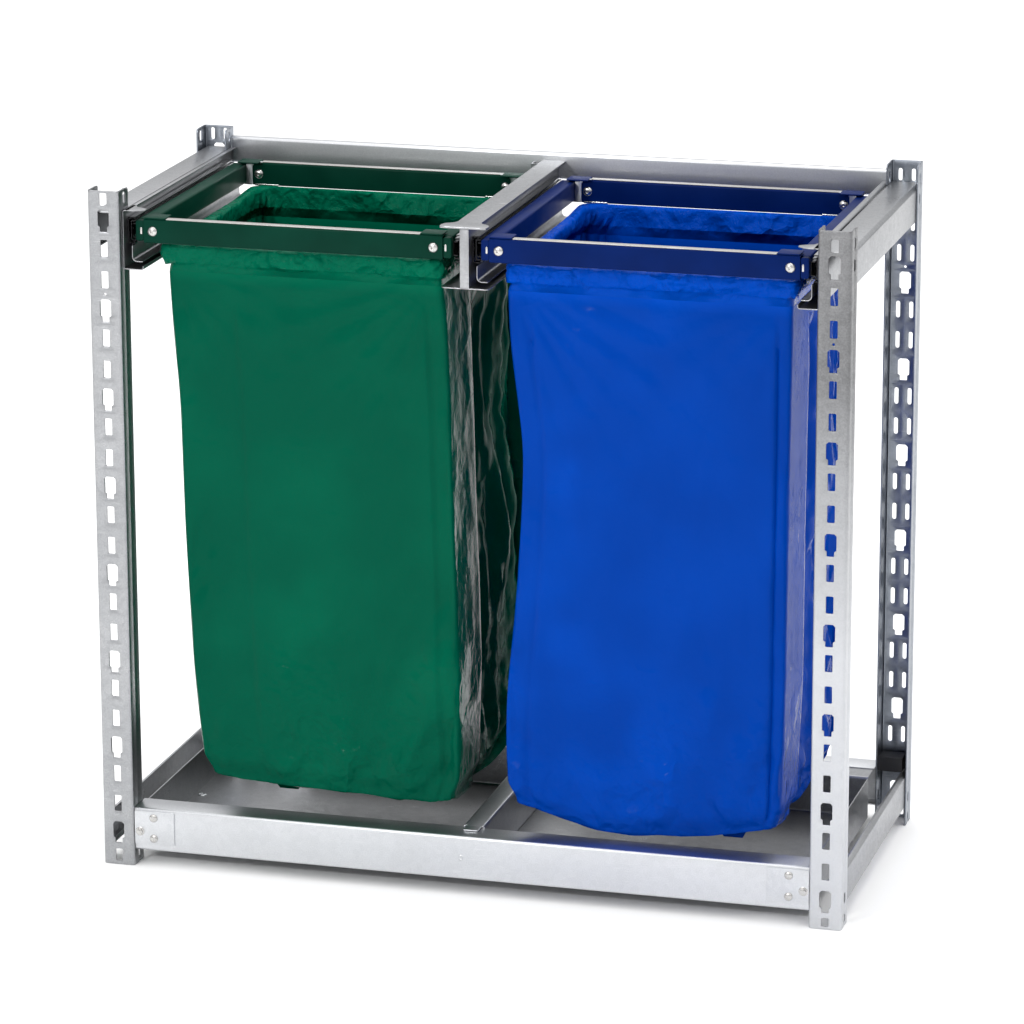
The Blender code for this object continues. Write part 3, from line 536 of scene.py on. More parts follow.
def film_material(name, colour):
    """Glossy thin film in a given colour, with painted light: paler in the band of the cuff over the ring."""
    material, tree, shader, place = new_material(name)
    film = place_group(tree, "film", Vector=place, Base=(*colour, 1))
    level = tree.add("ShaderNodeSeparateXYZ", {"Vector": place}).outputs["Z"]
    # Painted light: the base colour is lightened from the cuff's fold up to its top.
    painted_light_cuff = tree.mix(1.0, film["Color"], (1.45, 1.42, 1.38, 1), "MULTIPLY")
    tree.tree.links.new(tree.mix(tree.span(level, CUFF_FOLD, CUFF_TOP, 0.0, 1.0), film["Color"], painted_light_cuff),
                        shader.inputs["Base Color"])
    tree.tree.links.new(film["Roughness"], shader.inputs["Roughness"])
    shader.inputs["IOR"].default_value = 1.5
    shader.inputs["Specular IOR Level"].default_value = FILM_GLOSS
    cuff = tree.span(level, 0.815, 0.828, 0.0, 2.4)
    foot = tree.span(level, 0.34, 0.12, 0.0, 0.9)
    amount = tree.maths("ADD", tree.maths("ADD", cuff, foot), 0.22)
    bumped(tree, shader, tree.maths("MULTIPLY", film["Height"], amount), 1.0, 11.0 * MM)
    return material


def plastic_material(name):
    """Black moulded plastic with a fine grain."""
    material, tree, shader, place = new_material(name)
    grain = tree.add("ShaderNodeTexNoise", {"Vector": place, "Scale": 900.0, "Detail": 2.0}).outputs["Fac"]
    colour = tree.mix(grain, (0.006, 0.006, 0.007, 1), (0.022, 0.022, 0.024, 1))
    tree.tree.links.new(colour, shader.inputs["Base Color"])
    tree.tree.links.new(tree.span(grain, 0.3, 0.7, 0.42, 0.6), shader.inputs["Roughness"])
    bumped(tree, shader, grain, 0.3, 0.1 * MM)
    return material


def build_materials(scene):
    """All the finishes, by name."""
    steel, coat, sack = scene.station_steel, scene.station_paint, scene.station_sack
    for build in (build_zinc_group, build_scuff_group, build_coat_group, build_film_group):
        build()
    bright, dull, grain, rough = tuple(steel.bright), tuple(steel.dull), steel.grain, steel.roughness
    zinc_material("galvanised", bright, dull, grain, 0.55, rough - 0.08, rough + 0.10, 0.20)
    # The front right post's darker, mottled zinc: coarse grain of its own, with its dark tone a painted reflection.
    zinc_material("coarse_zinc_painted_reflection", tuple(1.6 * v for v in steel.dark_reflection_tone), tuple(steel.dark_reflection_tone), 2.2 * MM,
                  1.2, rough, rough + 0.2, 0.5, scuffs=0.1, fade=(0.36, 0.74))
    # The rear posts' copy is darker and faintly bluish: painted shade.
    for name, share_of, tint in (("post_zinc", steel.post, (1, 1, 1)), ("rear_zinc_painted_shade", steel.rear, (0.93, 0.99, 1.08)),
                                 ("pan_zinc", steel.pan, (1, 1, 1))):
        zinc_material(name, tuple(share_of * a * b for a, b in zip(bright, tint)),
                      tuple(share_of * a * b for a, b in zip(dull, tint)), grain, 1.0, rough - 0.10, rough + 0.06,
                      0.2)
    # Pale strip on the sack bars' tops: painted reflection.
    zinc_material("painted_reflection_strip", (0.50, 0.49, 0.47), (0.38, 0.37, 0.36), grain, 0.6, 0.4, 0.55, 0.2)
    zinc_material("slide_steel", (0.52, 0.52, 0.53), (0.38, 0.39, 0.40), grain, 0.4, 0.2, 0.3, 0.08, dark_end=-0.2035)
    zinc_material("bolt_zinc", (0.64, 0.63, 0.61), (0.46, 0.45, 0.44), grain, 0.6, 0.20, 0.32, 0.15)
    coat_material("green_paint", tuple(coat.green))
    coat_material("blue_paint", tuple(coat.blue))
    film_material("green_film", tuple(sack.green))
    film_material("blue_film", tuple(sack.blue))
    plastic_material("black_plastic")


def finish(name):
    """The material of that name."""
    return bpy.data.materials[PREFIX + name]


def refinish(part, name):
    """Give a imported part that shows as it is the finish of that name."""
    part.data.materials.clear()
    part.data.materials.append(finish(name))


# ---------------------------------------------------------------- posts

WEB_STEPS = np.array([-1, -0.9, -0.5, -0.1, 0, 0.1, 0.5, 0.9, 1])
HALF_STEPS = (WEB_STEPS[:5] + 0.5) * 2
FLANGE_STEPS = np.array([-1, -0.9, -0.28, -0.1, 0, 0.1, 0.28, 0.9, 1])
RISE_STEPS = np.linspace(-1, 1, 7)
HOLE_PERIOD, HOLE_PERIODS = 120 * MM, 8


def border(across, up):
    """Edge of the square from -1 to 1, anticlockwise from its lower left corner, at given steps."""
    one_across, one_up = np.ones(len(across) - 1), np.ones(len(up) - 1)
    bottom = np.stack([across[:-1], -one_across], -1)
    right = np.stack([one_up, up[:-1]], -1)
    top = np.stack([across[:0:-1], one_across], -1)
    left = np.stack([-one_up, up[:0:-1]], -1)
    return np.concatenate([bottom, right, top, left])


def opening(corner, across, up, across_count, up_count):
    """Outline of a punched hole with as many points as a tile's border. Corner is the middle of
    its corner arc, and across and up are how far its straight edges run and lie."""
    wide = np.r_[-corner[0], np.linspace(-across[0], across[0], across_count - 1), corner[0]]
    tall = np.r_[-corner[1], np.linspace(-up[0], up[0], up_count - 1), corner[1]]
    wide_at = np.r_[corner[1], np.full(across_count - 1, across[1]), corner[1]]
    tall_at = np.r_[corner[0], np.full(up_count - 1, up[1]), corner[0]]
    bottom = np.stack([wide, -wide_at], -1)[:-1]
    right = np.stack([tall_at, tall], -1)[:-1]
    top = np.stack([wide, wide_at], -1)[:0:-1]
    left = np.stack([-tall_at, tall], -1)[:0:-1]
    return np.concatenate([bottom, right, top, left])


def slot_outline(width, height, radius, across_count):
    """Slot: a rectangle with round corners."""
    half, rise, back = width / 2, height / 2, radius * (1 - math.sqrt(0.5))
    return opening((half - back, rise - back), (half - radius, rise), (rise - radius, half), across_count, 6)


def keyhole_outline(across_count):
    """Keyhole: a wide upper part with clipped top corners over a narrower leg. Its shoulders slope
    a little, which keeps every cell round it convex."""
    outline = opening((4.6, 14.6), (4.0, 15.0), (12.0, 7.75), across_count, 6)
    count = across_count
    half, leg, shoulder, top, clip = 7.75, 5.0, -8.0, 15.0, 3.0
    side = np.array([(leg - 0.3, -top + 0.3), (leg, -top + 1.0), (leg, shoulder - 0.6), (half, shoulder + 1.2),
                     (half, 2.0), (half, top - clip), (half - clip / 2, top - clip / 2)])
    outline[:count] = np.stack([np.r_[-side[0, 0], np.linspace(-4.0, 4.0, count - 1)], np.full(count, -top)], -1)
    outline[0, 1] = side[0, 1]
    outline[count:count + 6] = side[:-1]
    upper = np.r_[side[-1, 0], np.linspace(half - clip, clip - half, count - 1)]
    outline[count + 6:2 * count + 6] = np.stack([upper, np.full(count, top)], -1)
    outline[count + 6, 1] = side[-1, 1]
    outline[2 * count + 6:] = side[:0:-1] * (-1, 1)
    return outline * MM


def punched_tile(low, high, outline, across, hole_middle):
    """Ring of cells between a hole's outline and the border of its tile, on the flat sheet."""
    edge = border(across, RISE_STEPS)
    low, high = np.asarray(low), np.asarray(high)
    outer = (low + high) / 2 + edge * (high - low) / 2
    inner = np.asarray(hole_middle) + outline
    return np.stack([inner, outer]), cells(2, len(edge), wrap=True)


def plain_tile(low, high, across):
    """Plain cells over a tile, on the same lines as a punched one."""
    x = (low[0] + high[0]) / 2 + across * (high[0] - low[0]) / 2
    z = (low[1] + high[1]) / 2 + RISE_STEPS * (high[1] - low[1]) / 2
    grid = np.stack(np.broadcast_arrays(x[None, :], z[:, None]), -1)
    return grid, cells(len(z), len(x))


def post_rows(height, first, period, count):
    """Punched rows of a post from the floor up, as (kind, middle, half height)."""
    rows = [("cut", (first - 22 * MM) / 2 + 2 * MM, min(8.5 * MM, (first - 22 * MM) / 2 - 2 * MM))]
    for number in range(count):
        middle = first + number * period
        for drop in (79, 37):
            if number:
                rows.append(("slot", middle - drop * MM, 11.5 * MM))
        if number == count - 1:
            rows.insert(-2, ("pin", middle - 98 * MM, 1.8 * MM))
        rows.append(("keyhole", middle, 15 * MM))
    rows.append(("top", first + (count - 1) * period + 28 * MM, 8.5 * MM))
    tops = [row[1] + row[2] for row in rows]
    bottoms = [row[1] - row[2] for row in rows]
    bounds = [0.0] + [(tops[i] + bottoms[i + 1]) / 2 for i in range(len(rows) - 1)] + [height]
    return rows, bounds


def post_sheet(low, high, front, first, steel):
    """Middle surface of a post: a flat strip of tiles, punched where the rows say, wrapped round
    a channel section by its distance along the section. A shallow bead runs down each flange."""
    wall, bend = steel.wall, steel.bend
    half = (high[0] - low[0] - wall) / 2
    depth = high[1] - low[1] - wall / 2
    flat, arm = half - bend, depth - bend
    corner = bend * math.pi / 2
    arm_middle = flat + corner + arm / 2
    rows, bounds = post_rows(high[2], first, HOLE_PERIOD, HOLE_PERIODS)
    sheets = []
    for number, (kind, middle, rise) in enumerate(rows):
        z0, z1 = bounds[number], bounds[number + 1]
        if kind == "keyhole":
            sheets.append(punched_tile((-flat, z0), (flat, z1), keyhole_outline(8), WEB_STEPS, (0, middle)))
        elif kind == "pin":
            outline = slot_outline(2 * rise, 2 * rise, 0.9 * rise, 8)
            sheets.append(punched_tile((-flat, z0), (flat, z1), outline, WEB_STEPS, (0, middle)))
        elif front:
            outline = slot_outline(10 * MM, 2 * rise, 1.6 * MM, 8)
            sheets.append(punched_tile((-flat, z0), (flat, z1), outline, WEB_STEPS, (0, middle)))
        else:
            outline = slot_outline(5.5 * MM, 2 * rise, 2.5 * MM, 4)
            for sign in (-1, 1):
                edges = sorted((0.0, sign * flat))
                sheets.append(punched_tile((edges[0], z0), (edges[1], z1), outline,
                                           HALF_STEPS if sign < 0 else -HALF_STEPS[::-1], (sign * 9 * MM, middle)))
        ends = number < 2 or number >= len(rows) - 2
        for sign in (-1, 1):
            turn = sorted((sign * flat, sign * (flat + corner)))
            sheets.append(plain_tile((turn[0], z0), (turn[1], z1), np.linspace(-1, 1, 7)))
            leg = sorted((sign * (flat + corner), sign * (flat + corner + arm)))
            if ends:
                hole = slot_outline(9 * MM, min(2 * rise, 15 * MM), 3.6 * MM, 8)
                sheets.append(punched_tile((leg[0], z0), (leg[1], z1), hole, FLANGE_STEPS,
                                           (sign * (arm_middle + 2 * MM), middle)))
            else:
                sheets.append(plain_tile((leg[0], z0), (leg[1], z1), FLANGE_STEPS))
    flat_sheets = [(np.concatenate([grid.reshape(-1, 2), np.zeros((grid.reshape(-1, 2).shape[0], 1))], -1), faces)
                   for grid, faces in sheets]
    points, faces = joined(*flat_sheets)
    along, z = points[:, 0], points[:, 1]
    side, reach = np.sign(along), np.abs(along)
    angle = np.clip((reach - flat) / bend, 0, math.pi / 2)
    past = np.clip(reach - flat - corner, 0, None)
    across = np.minimum(reach, flat) + bend * np.sin(angle)
    inward = bend * (1 - np.cos(angle)) + past
    offset = np.abs(reach - arm_middle) / (arm / 2)
    groove = steel.bead * np.clip((0.28 - offset) / 0.18, 0, 1)
    x = (low[0] + high[0]) / 2 + side * (across - groove)
    tip = 4.0 * MM
    over = np.clip(past - (arm - tip), 0, tip)
    drop = tip - np.sqrt(np.clip(tip ** 2 - over ** 2, 0, None))
    z = np.clip(z, 0.4 * MM, high[2] - 0.5 * MM - drop)
    y = low[1] + wall / 2 + inward if front else high[1] - wall / 2 - inward
    return np.stack([x, y, z], -1), faces


class STATION_OT_posts(bpy.types.Operator):
    """Four punched channel posts."""
    bl_idname = "station.posts"
    bl_label = "Posts"

    def execute(self, context):
        steel = context.scene.station_steel
        for end in ("front", "rear"):
            for side, sign in SIDES:
                node = f"{end}_{side}_post"
                low, high = corners_of(node)
                first = (46 if sign < 0 else 38) * MM
                # The front right post's zinc carries a painted dark reflection.
                # The rear posts' zinc carries painted shade.
                look = {"front_right_post": "coarse_zinc_painted_reflection", "front_left_post": "post_zinc"}.get(node, "rear_zinc_painted_shade")
                piece(node + "_punched", post_sheet(low, high, end == "front", first, steel), "frame",
                      look, [node], wall=steel.wall, edge=steel.edge)
        return {"FINISHED"}


# ---------------------------------------------------------------- beams

def beam_path(low, high, sign, kind, wall):
    """Middle line of a beam's folded sheet across its length, from its CAD box."""
    mid = wall / 2
    if kind == "base":
        face, back = sign * (max(abs(low[1]), abs(high[1])) - mid), sign * min(abs(low[1]), abs(high[1]))
        return [(back, high[2] - mid), (face, high[2] - mid), (face, low[2] + mid),
                (face - sign * 19 * MM, low[2] + mid)]
    if kind == "rear":
        return [(high[1], low[2] + mid), (low[1] + mid, low[2] + mid), (low[1] + mid, high[2] - mid),
                (high[1], high[2] - mid)]
    outer, inner = sign * max(abs(low[0]), abs(high[0])), sign * min(abs(low[0]), abs(high[0]))
    chamfer = 4.2 * MM
    lip = outer - sign * 8 * MM
    return [(inner, high[2] - mid), (outer - sign * (mid + chamfer), high[2] - mid),
            (outer - sign * mid, high[2] - mid - chamfer), (outer - sign * mid, low[2] + mid), (lip, low[2] + mid)]


class STATION_OT_beams(bpy.types.Operator):
    """Side beams, the top rear beam and the base's front and rear beams."""
    bl_idname = "station.beams"
    bl_label = "Beams"

    def execute(self, context):
        steel = context.scene.station_steel
        for node, sign in (("bottom_front_beam", -1), ("bottom_rear_beam", 1), ("top_rear_beam", 1)):
            low, high = corners_of(node)
            kind = "rear" if node.startswith("top") else "base"
            path = rounded(beam_path(low, high, sign, kind, steel.wall), steel.bend)
            piece(node + "_folded", folded(path, low[0], high[0], "X"), "frame", "galvanised", [node],
                  wall=steel.wall, edge=steel.edge)
        for level in ("top", "bottom"):
            for side, sign in SIDES:
                node = f"{level}_{side}_side_beam"
                low, high = corners_of(node)
                path = rounded(beam_path(low, high, sign, "side", steel.wall), 1.6 * MM, steps=4)
                piece(node + "_folded", folded(path, low[1], high[1], "Y"), "frame", "post_zinc",
                      [node], wall=steel.wall, edge=steel.edge)
        self.dimple()
        return {"FINISHED"}

    def dimple(self):
        """Locating dimple pressed into the front beam: a low ring with a hollow middle."""
        low, high = corners_of("bottom_front_beam")
        profile = np.array([(0.0, -0.1), (1.4, -0.15), (2.2, -0.6), (3.0, -0.75), (3.8, -0.35), (4.4, 0.3),
                            (0.0, 0.3)]) * MM
        centre = (-7 * MM, low[1], (low[2] + high[2]) / 2)
        piece("base_dimple", turned(profile, centre, "Y"), "frame", "galvanised")


# ---------------------------------------------------------------- floor of the base

class STATION_OT_base(bpy.types.Operator):
    """Joist, drain rims, end brackets with their rivets and bolts, and the black block."""
    bl_idname = "station.base"
    bl_label = "Base"

    def execute(self, context):
        steel = context.scene.station_steel
        low, high = corners_of("bottom_centre_joist")
        mid, half = steel.wall / 2, (high[0] - low[0]) / 2
        path = rounded([(-half + mid, low[2]), (-half + mid, high[2] - mid), (half - mid, high[2] - mid),
                        (half - mid, low[2])], steel.bend)
        tongue = rounded(rectangle((-half + 4 * MM, low[1]), (half - 4 * MM, high[1])), 3 * MM, closed=True)
        reach = 189.7 * MM
        piece("bottom_centre_joist_folded", folded(path, -reach, reach, "Y"), "frame", "galvanised",
              ["bottom_centre_joist"], wall=steel.wall, edge=steel.edge)
        piece("joist_tongue", slab(tongue, high[2] - 1.7 * MM, high[2] - 0.15 * MM, "Z"), "frame",
              "galvanised", edge=0.3 * MM)
        for side, sign in SIDES:
            low, high = corners_of(f"{side}_floor_panel")
            outer = high[0] if sign > 0 else low[0]
            rim = np.array([(3.4, -1.0), (3.4, 0.5), (4.2, 1.0), (5.4, 0.7), (6.2, 0.0), (6.2, -1.0)]) * MM
            piece(f"{side}_drain_rim", turned(rim, (outer - sign * 12 * MM, 5 * MM, 24 * MM), "Z"), "frame",
                  "galvanised", wall=0.3 * MM)
        for end, front in (("front", True), ("rear", False)):
            for side, sign in SIDES:
                self.bracket(f"{end}_{side}_base_bracket", front, sign)
        for node in ("left_floor_panel", "right_floor_panel"):
            refinish(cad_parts[node], "pan_zinc")
        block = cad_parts["rear_right_post_block"]
        refinish(block, "black_plastic")
        return {"FINISHED"}

    def bracket(self, node, front, sign):
        """End plate with rounded corners, two domed rivets, and a hexagon bolt and washer at the post."""
        low, high = corners_of(node)
        out = -1 if front else 1
        face = (low[1] + 1.9 * MM if front else high[1] - 1.9 * MM)
        back = face - out * 1.6 * MM
        outline = rounded(rectangle((low[0], low[2]), (high[0], high[2])), 2.0 * MM, steps=4, closed=True)
        piece(node + "_plate", slab(outline, min(face, back), max(face, back), "Y"), "frame",
              "galvanised", [node], edge=0.4 * MM)
        edge_x = high[0] if sign > 0 else low[0]
        middle = edge_x - sign * 27 * MM
        heads = []
        for height in (69 * MM, 40 * MM):
            profile = dome(5.8 * MM, 2.8 * MM) * (1, out)
            heads.append(turned(profile, (middle, face, height), "Y"))
        washer = dome(6.2 * MM, 0.9 * MM) * (1, out)
        nut_profile = np.array([(0.0, 3.0), (2.6, 3.0), (4.3, 2.3), (4.6, 0.8), (4.6, -0.6), (0.0, -0.6)]) * MM
        bolt_x = edge_x - sign * 7.5 * MM
        heads.append(turned(washer, (bolt_x, face, 49 * MM), "Y"))
        heads.append(turned(nut_profile * (1, out), (bolt_x, face + out * 0.8 * MM, 49 * MM), "Y", sides=6))
        piece(node + "_fixings", joined(*heads), "frame", "bolt_zinc", merge=0.001 * MM)


# ---------------------------------------------------------------- channels and divider

class STATION_OT_channels(bpy.types.Operator):
    """Slide channels, the centre divider and the brackets that the slides hang on."""
    bl_idname = "station.channels"
    bl_label = "Channels and divider"

    def execute(self, context):
        sheet = 1.2 * MM
        for side, sign in SIDES:
            node = f"{side}_slide_channel"
            low, high = corners_of(node)
            self.channel(node, low, high, sign, sheet)
        self.divider()
        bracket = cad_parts["divider_rear_bracket"]
        refinish(bracket, "post_zinc")
        return {"FINISHED"}

    def channel(self, node, low, high, sign, sheet):
        """Folded channel with a curled lip on its shelf and a flared tab at its front."""
        web = sign * (max(abs(low[0]), abs(high[0])) - sheet / 2)
        top, bottom = high[2] - sheet / 2, low[2] + sheet / 2
        path = rounded([(web - sign * 7 * MM, top), (web, top), (web, bottom), (web - sign * 26.5 * MM, bottom),
                        (web - sign * 26.5 * MM, bottom + 5 * MM)], 2.4 * MM, steps=5)
        piece(node + "_folded", folded(path, low[1], high[1], "Y"), "frame", "post_zinc", [node],
              wall=sheet, edge=0.25 * MM)
        front = low[1]
        tab = np.array([(2, 0), (14, 0), (20, 2.5), (28.5, 8), (28.5, 15), (22, 20), (12, 24), (7, 34), (2, 34)]) * MM
        outline = rounded(np.stack([web - sign * tab[:, 0], front + tab[:, 1]], -1), 2.0 * MM, steps=4, closed=True)
        piece(node + "_tab", slab(outline, top - sheet / 2, top + sheet / 2, "Z"), "frame", "post_zinc",
              edge=0.3 * MM)
        self.hanger(f"{node}_hanger", web, sign, front + 6 * MM, high[1])

    def hanger(self, name, web, sign, front, rear):
        """Angle under a slide: an upright leg that rolls into a shelf."""
        path = rounded([(web - sign * 10 * MM, 850.5 * MM), (web - sign * 10 * MM, 830 * MM),
                        (web - sign * 24 * MM, 830 * MM)], 6 * MM, steps=7)
        piece(name, folded(path, front, rear, "Y"), "frame", "post_zinc", wall=1.2 * MM, edge=0.25 * MM)

    def divider(self):
        """Box between a flared top plate and a round-ended bottom plate."""
        low, high = corners_of("centre_divider")
        half, front, rear = 6 * MM, -222 * MM, high[1]
        box = rounded(rectangle((-half, low[2] + 0.2 * MM), (half, high[2] - 2.6 * MM)),
                      0.9 * MM, steps=3, closed=True)
        piece("centre_divider_box", slab(box, front, rear, "Y"), "frame", "post_zinc",
              ["centre_divider"], edge=0.4 * MM)
        wide, neck = high[0], 16 * MM
        plate = np.array([(neck, rear), (neck, -196 * MM), (19 * MM, -203 * MM), (wide - 3 * MM, -210 * MM),
                          (wide, -217 * MM), (wide - 1 * MM, low[1] + 1 * MM), (wide - 8 * MM, low[1])])
        outline = np.concatenate([plate, plate[::-1] * (-1, 1)])
        outline = rounded(outline, 2.2 * MM, steps=4, closed=True)
        piece("centre_divider_top", slab(outline, high[2] - 2.5 * MM, high[2], "Z"), "frame",
              "post_zinc", edge=0.5 * MM)
        foot = rounded(rectangle((-wide, front), (wide, 200 * MM)), 6 * MM, steps=6, closed=True)
        piece("centre_divider_foot", slab(foot, low[2], low[2] + 1.5 * MM, "Z"), "frame", "post_zinc",
              edge=0.35 * MM)
        for side, sign in SIDES:
            start = front + (3 if sign > 0 else 90) * MM
            self.hanger(f"centre_divider_{side}_hanger", sign * half, -sign, start, 200 * MM)


# ---------------------------------------------------------------- slides

class STATION_OT_slides(bpy.types.Operator):
    """Telescopic slides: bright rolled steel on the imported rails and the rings."""
    bl_idname = "station.slides"
    bl_label = "Slides and rings"

    def execute(self, context):
        for node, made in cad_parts.items():
            if node.endswith("_rail") or node.endswith("_ring"):
                refinish(made, "slide_steel")
        return {"FINISHED"}


# ---------------------------------------------------------------- sack frames

class STATION_OT_sack_frames(bpy.types.Operator):
    """Bars, corner tabs, end blocks, bolts and straps of both sack frames."""
    bl_idname = "station.sack_frames"
    bl_label = "Sack frames"

    def execute(self, context):
        for colour in COLOURS:
            paint = f"{colour}_paint"
            self.cross_bars(colour, paint)
            self.side_bars(colour, paint)
            self.corners(colour, paint)
            self.bolts(colour)
        return {"FINISHED"}

    def cross_bars(self, colour, paint):
        """Front and rear channels with a pale strip along the top between the corner tabs: a painted highlight
        standing for the paint's reflection.
        """
        for end in ("front", "rear"):
            node = f"{colour}_{end}_bar"
            low, high = corners_of(node)
            face, mid = (low[1] if end == "front" else low[1] + 3.5 * MM), 1.0 * MM
            path = rounded([(high[1], high[2] - mid), (face + mid, high[2] - mid), (face + mid, low[2] + mid),
                            (high[1], low[2] + mid)], 1.8 * MM, steps=5)
            piece(node + "_folded", folded(path, low[0], high[0], "X"), f"{colour}_drawer", paint,
                  [node], wall=2 * MM, edge=0.4 * MM)
            # Pale strip on the bar's top: painted reflection of the light on the paint.
            strip = rounded(rectangle((low[0] + 30.5 * MM, face + 1.2 * MM), (high[0] - 30.5 * MM, high[1])),
                            0.6 * MM, steps=3, closed=True)
            piece(f"{node}_strip", slab(strip, high[2] - 0.1 * MM, high[2] + 0.9 * MM, "Z"), f"{colour}_drawer",
                  "painted_reflection_strip", edge=0.25 * MM)

    def side_bars(self, colour, paint):
        """Side tubes with rounded edges, and the slotted block that closes each front end."""
        for side, sign in SIDES:
            node = f"{colour}_{side}_side_bar"
            low, high = corners_of(node)
            tube = rounded(rectangle((low[0] + 1 * MM, low[2] + 1 * MM), (high[0] - 1 * MM, high[2] - 1 * MM)),
                           1.6 * MM, steps=4, closed=True)
            tube = np.concatenate([tube, tube[:1]])
            piece(node + "_tube", folded(tube, low[1], high[1], "Y"), f"{colour}_drawer", paint,
                  [node], wall=2 * MM, edge=0.35 * MM)
            bar_low, bar_high = corners_of(f"{colour}_front_bar")
            inner = (bar_low[0] if sign < 0 else bar_high[0]) + sign * 0.4 * MM
            outer = low[0] if sign < 0 else high[0]
            front, rear = bar_low[1] + 1.6 * MM, low[1]
            bounds = sorted((inner, outer))
            outline = rounded(rectangle((bounds[0], low[2] + 0.5 * MM), (bounds[1], high[2] - 0.5 * MM)), 2.6 * MM,
                              steps=5, closed=True)
            piece(f"{colour}_{side}_end_block", slab(outline, front, rear, "Y"), f"{colour}_drawer",
                  paint, edge=0.6 * MM)
            slot_x = inner + sign * 3.2 * MM
            middle = (low[2] + high[2]) / 2
            sides = rectangle((slot_x - 1.3 * MM, middle - 4.5 * MM), (slot_x + 1.3 * MM, middle + 4.5 * MM))
            insert = rounded(sides, 1.1 * MM, steps=4, closed=True)
            piece(f"{colour}_{side}_end_rivet", slab(insert, front - 0.5 * MM, front + 1 * MM, "Y"),
                  f"{colour}_drawer", "bolt_zinc", edge=0.3 * MM)

    def corners(self, colour, paint):
        """Painted tabs over the corners, and galvanised T-shaped straps down the rear ones."""
        for end in ("front", "rear"):
            for side, sign in SIDES:
                node = f"{colour}_{end}_{side}_corner"
                high = corners_of(node)[1]
                bar_low, bar_high = corners_of(f"{colour}_{end}_bar")
                outer = bar_low[0] if sign < 0 else bar_high[0]
                edges = sorted((outer, outer - sign * 30 * MM))
                low_y = bar_low[1] if end == "front" else high[1] - 26 * MM
                high_y = low_y + 26 * MM
                tab = rounded(rectangle((edges[0], low_y), (edges[1], high_y)), 2.2 * MM, steps=4, closed=True)
                piece(node + "_tab", slab(tab, high[2] - 1.8 * MM, high[2], "Z"), f"{colour}_drawer",
                      paint, [node], edge=0.5 * MM)
                if end == "rear":
                    self.strap(colour, side, sign, bar_low, high)

    def strap(self, colour, side, sign, bar_low, high):
        """T-shaped strap in a rear corner, its head up at the tab, and the hook beside it."""
        side_low, side_high = corners_of(f"{colour}_{side}_side_bar")
        edge = side_high[0] if sign < 0 else side_low[0]
        stem, head, base = 9 * MM, 24 * MM, bar_low[2] + 1 * MM
        near, far = edge - sign * 0.4 * MM, edge - sign * (0.4 * MM + stem)
        wide = edge - sign * (0.4 * MM + head)
        top = high[2] - 0.2 * MM
        outline = np.array([(near, base), (far, base), (far, top - 7 * MM), (far - sign * 2.5 * MM, top - 3 * MM),
                            (wide, top - 1.6 * MM), (wide, top), (near, top)])
        outline = rounded(outline, 1.0 * MM, steps=3, closed=True)
        face = bar_low[1] + 0.2 * MM
        piece(f"{colour}_{side}_strap", slab(outline, face, face + 1.8 * MM, "Y"), f"{colour}_drawer",
              "galvanised", edge=0.4 * MM)
        hook_edges = sorted((far - sign * 3 * MM, far - sign * 37 * MM))
        hook = rounded(rectangle((hook_edges[0], base - 1 * MM), (hook_edges[1], base + 1.8 * MM)), 1.0 * MM, steps=4,
                       closed=True)
        piece(f"{colour}_{side}_hook", slab(hook, face + 0.2 * MM, face + 3 * MM, "Y"), f"{colour}_drawer",
              "bolt_zinc", edge=0.5 * MM)

    def bolts(self, colour):
        """Domed bolt heads, front and rear, each with a shallow socket."""
        for end in ("front", "rear"):
            bar_low = corners_of(f"{colour}_{end}_bar")[0]
            for side, sign in SIDES:
                node = f"{colour}_front_{side}_bolt"
                low, high = corners_of(node)
                centre_x, centre_z = (low[0] + high[0]) / 2, (low[2] + high[2]) / 2
                radius = (high[0] - low[0]) / 2
                face = bar_low[1] if end == "front" else bar_low[1] + 3.5 * MM
                if end == "rear":
                    centre_x -= sign * 14 * MM
                profile = np.array([(0.0, 1.5), (0.30, 1.5), (0.34, 3.3), (0.55, 3.1), (0.80, 2.3), (0.95, 1.1),
                                    (1.0, 0.2), (1.0, -0.5), (0.0, -0.5)])
                profile = profile * (radius, -MM)
                piece(f"{colour}_{end}_{side}_bolt_head", turned(profile, (centre_x, face, centre_z), "Y", 32),
                      f"{colour}_drawer", "bolt_zinc", [node] if end == "front" else ())


# ---------------------------------------------------------------- sacks

def smooth_noise(x, y, draw):
    """Value noise from 0 to 1: random values on a lattice, eased between its points."""
    table = draw.random((64, 64))
    x0, y0 = np.floor(x).astype(int), np.floor(y).astype(int)
    fx, fy = x - x0, y - y0
    fx, fy = fx * fx * (3 - 2 * fx), fy * fy * (3 - 2 * fy)
    corner = lambda i, j: table[(x0 + i) % 64, (y0 + j) % 64]
    return ((corner(0, 0) * (1 - fx) + corner(1, 0) * fx) * (1 - fy)
            + (corner(0, 1) * (1 - fx) + corner(1, 1) * fx) * fy)


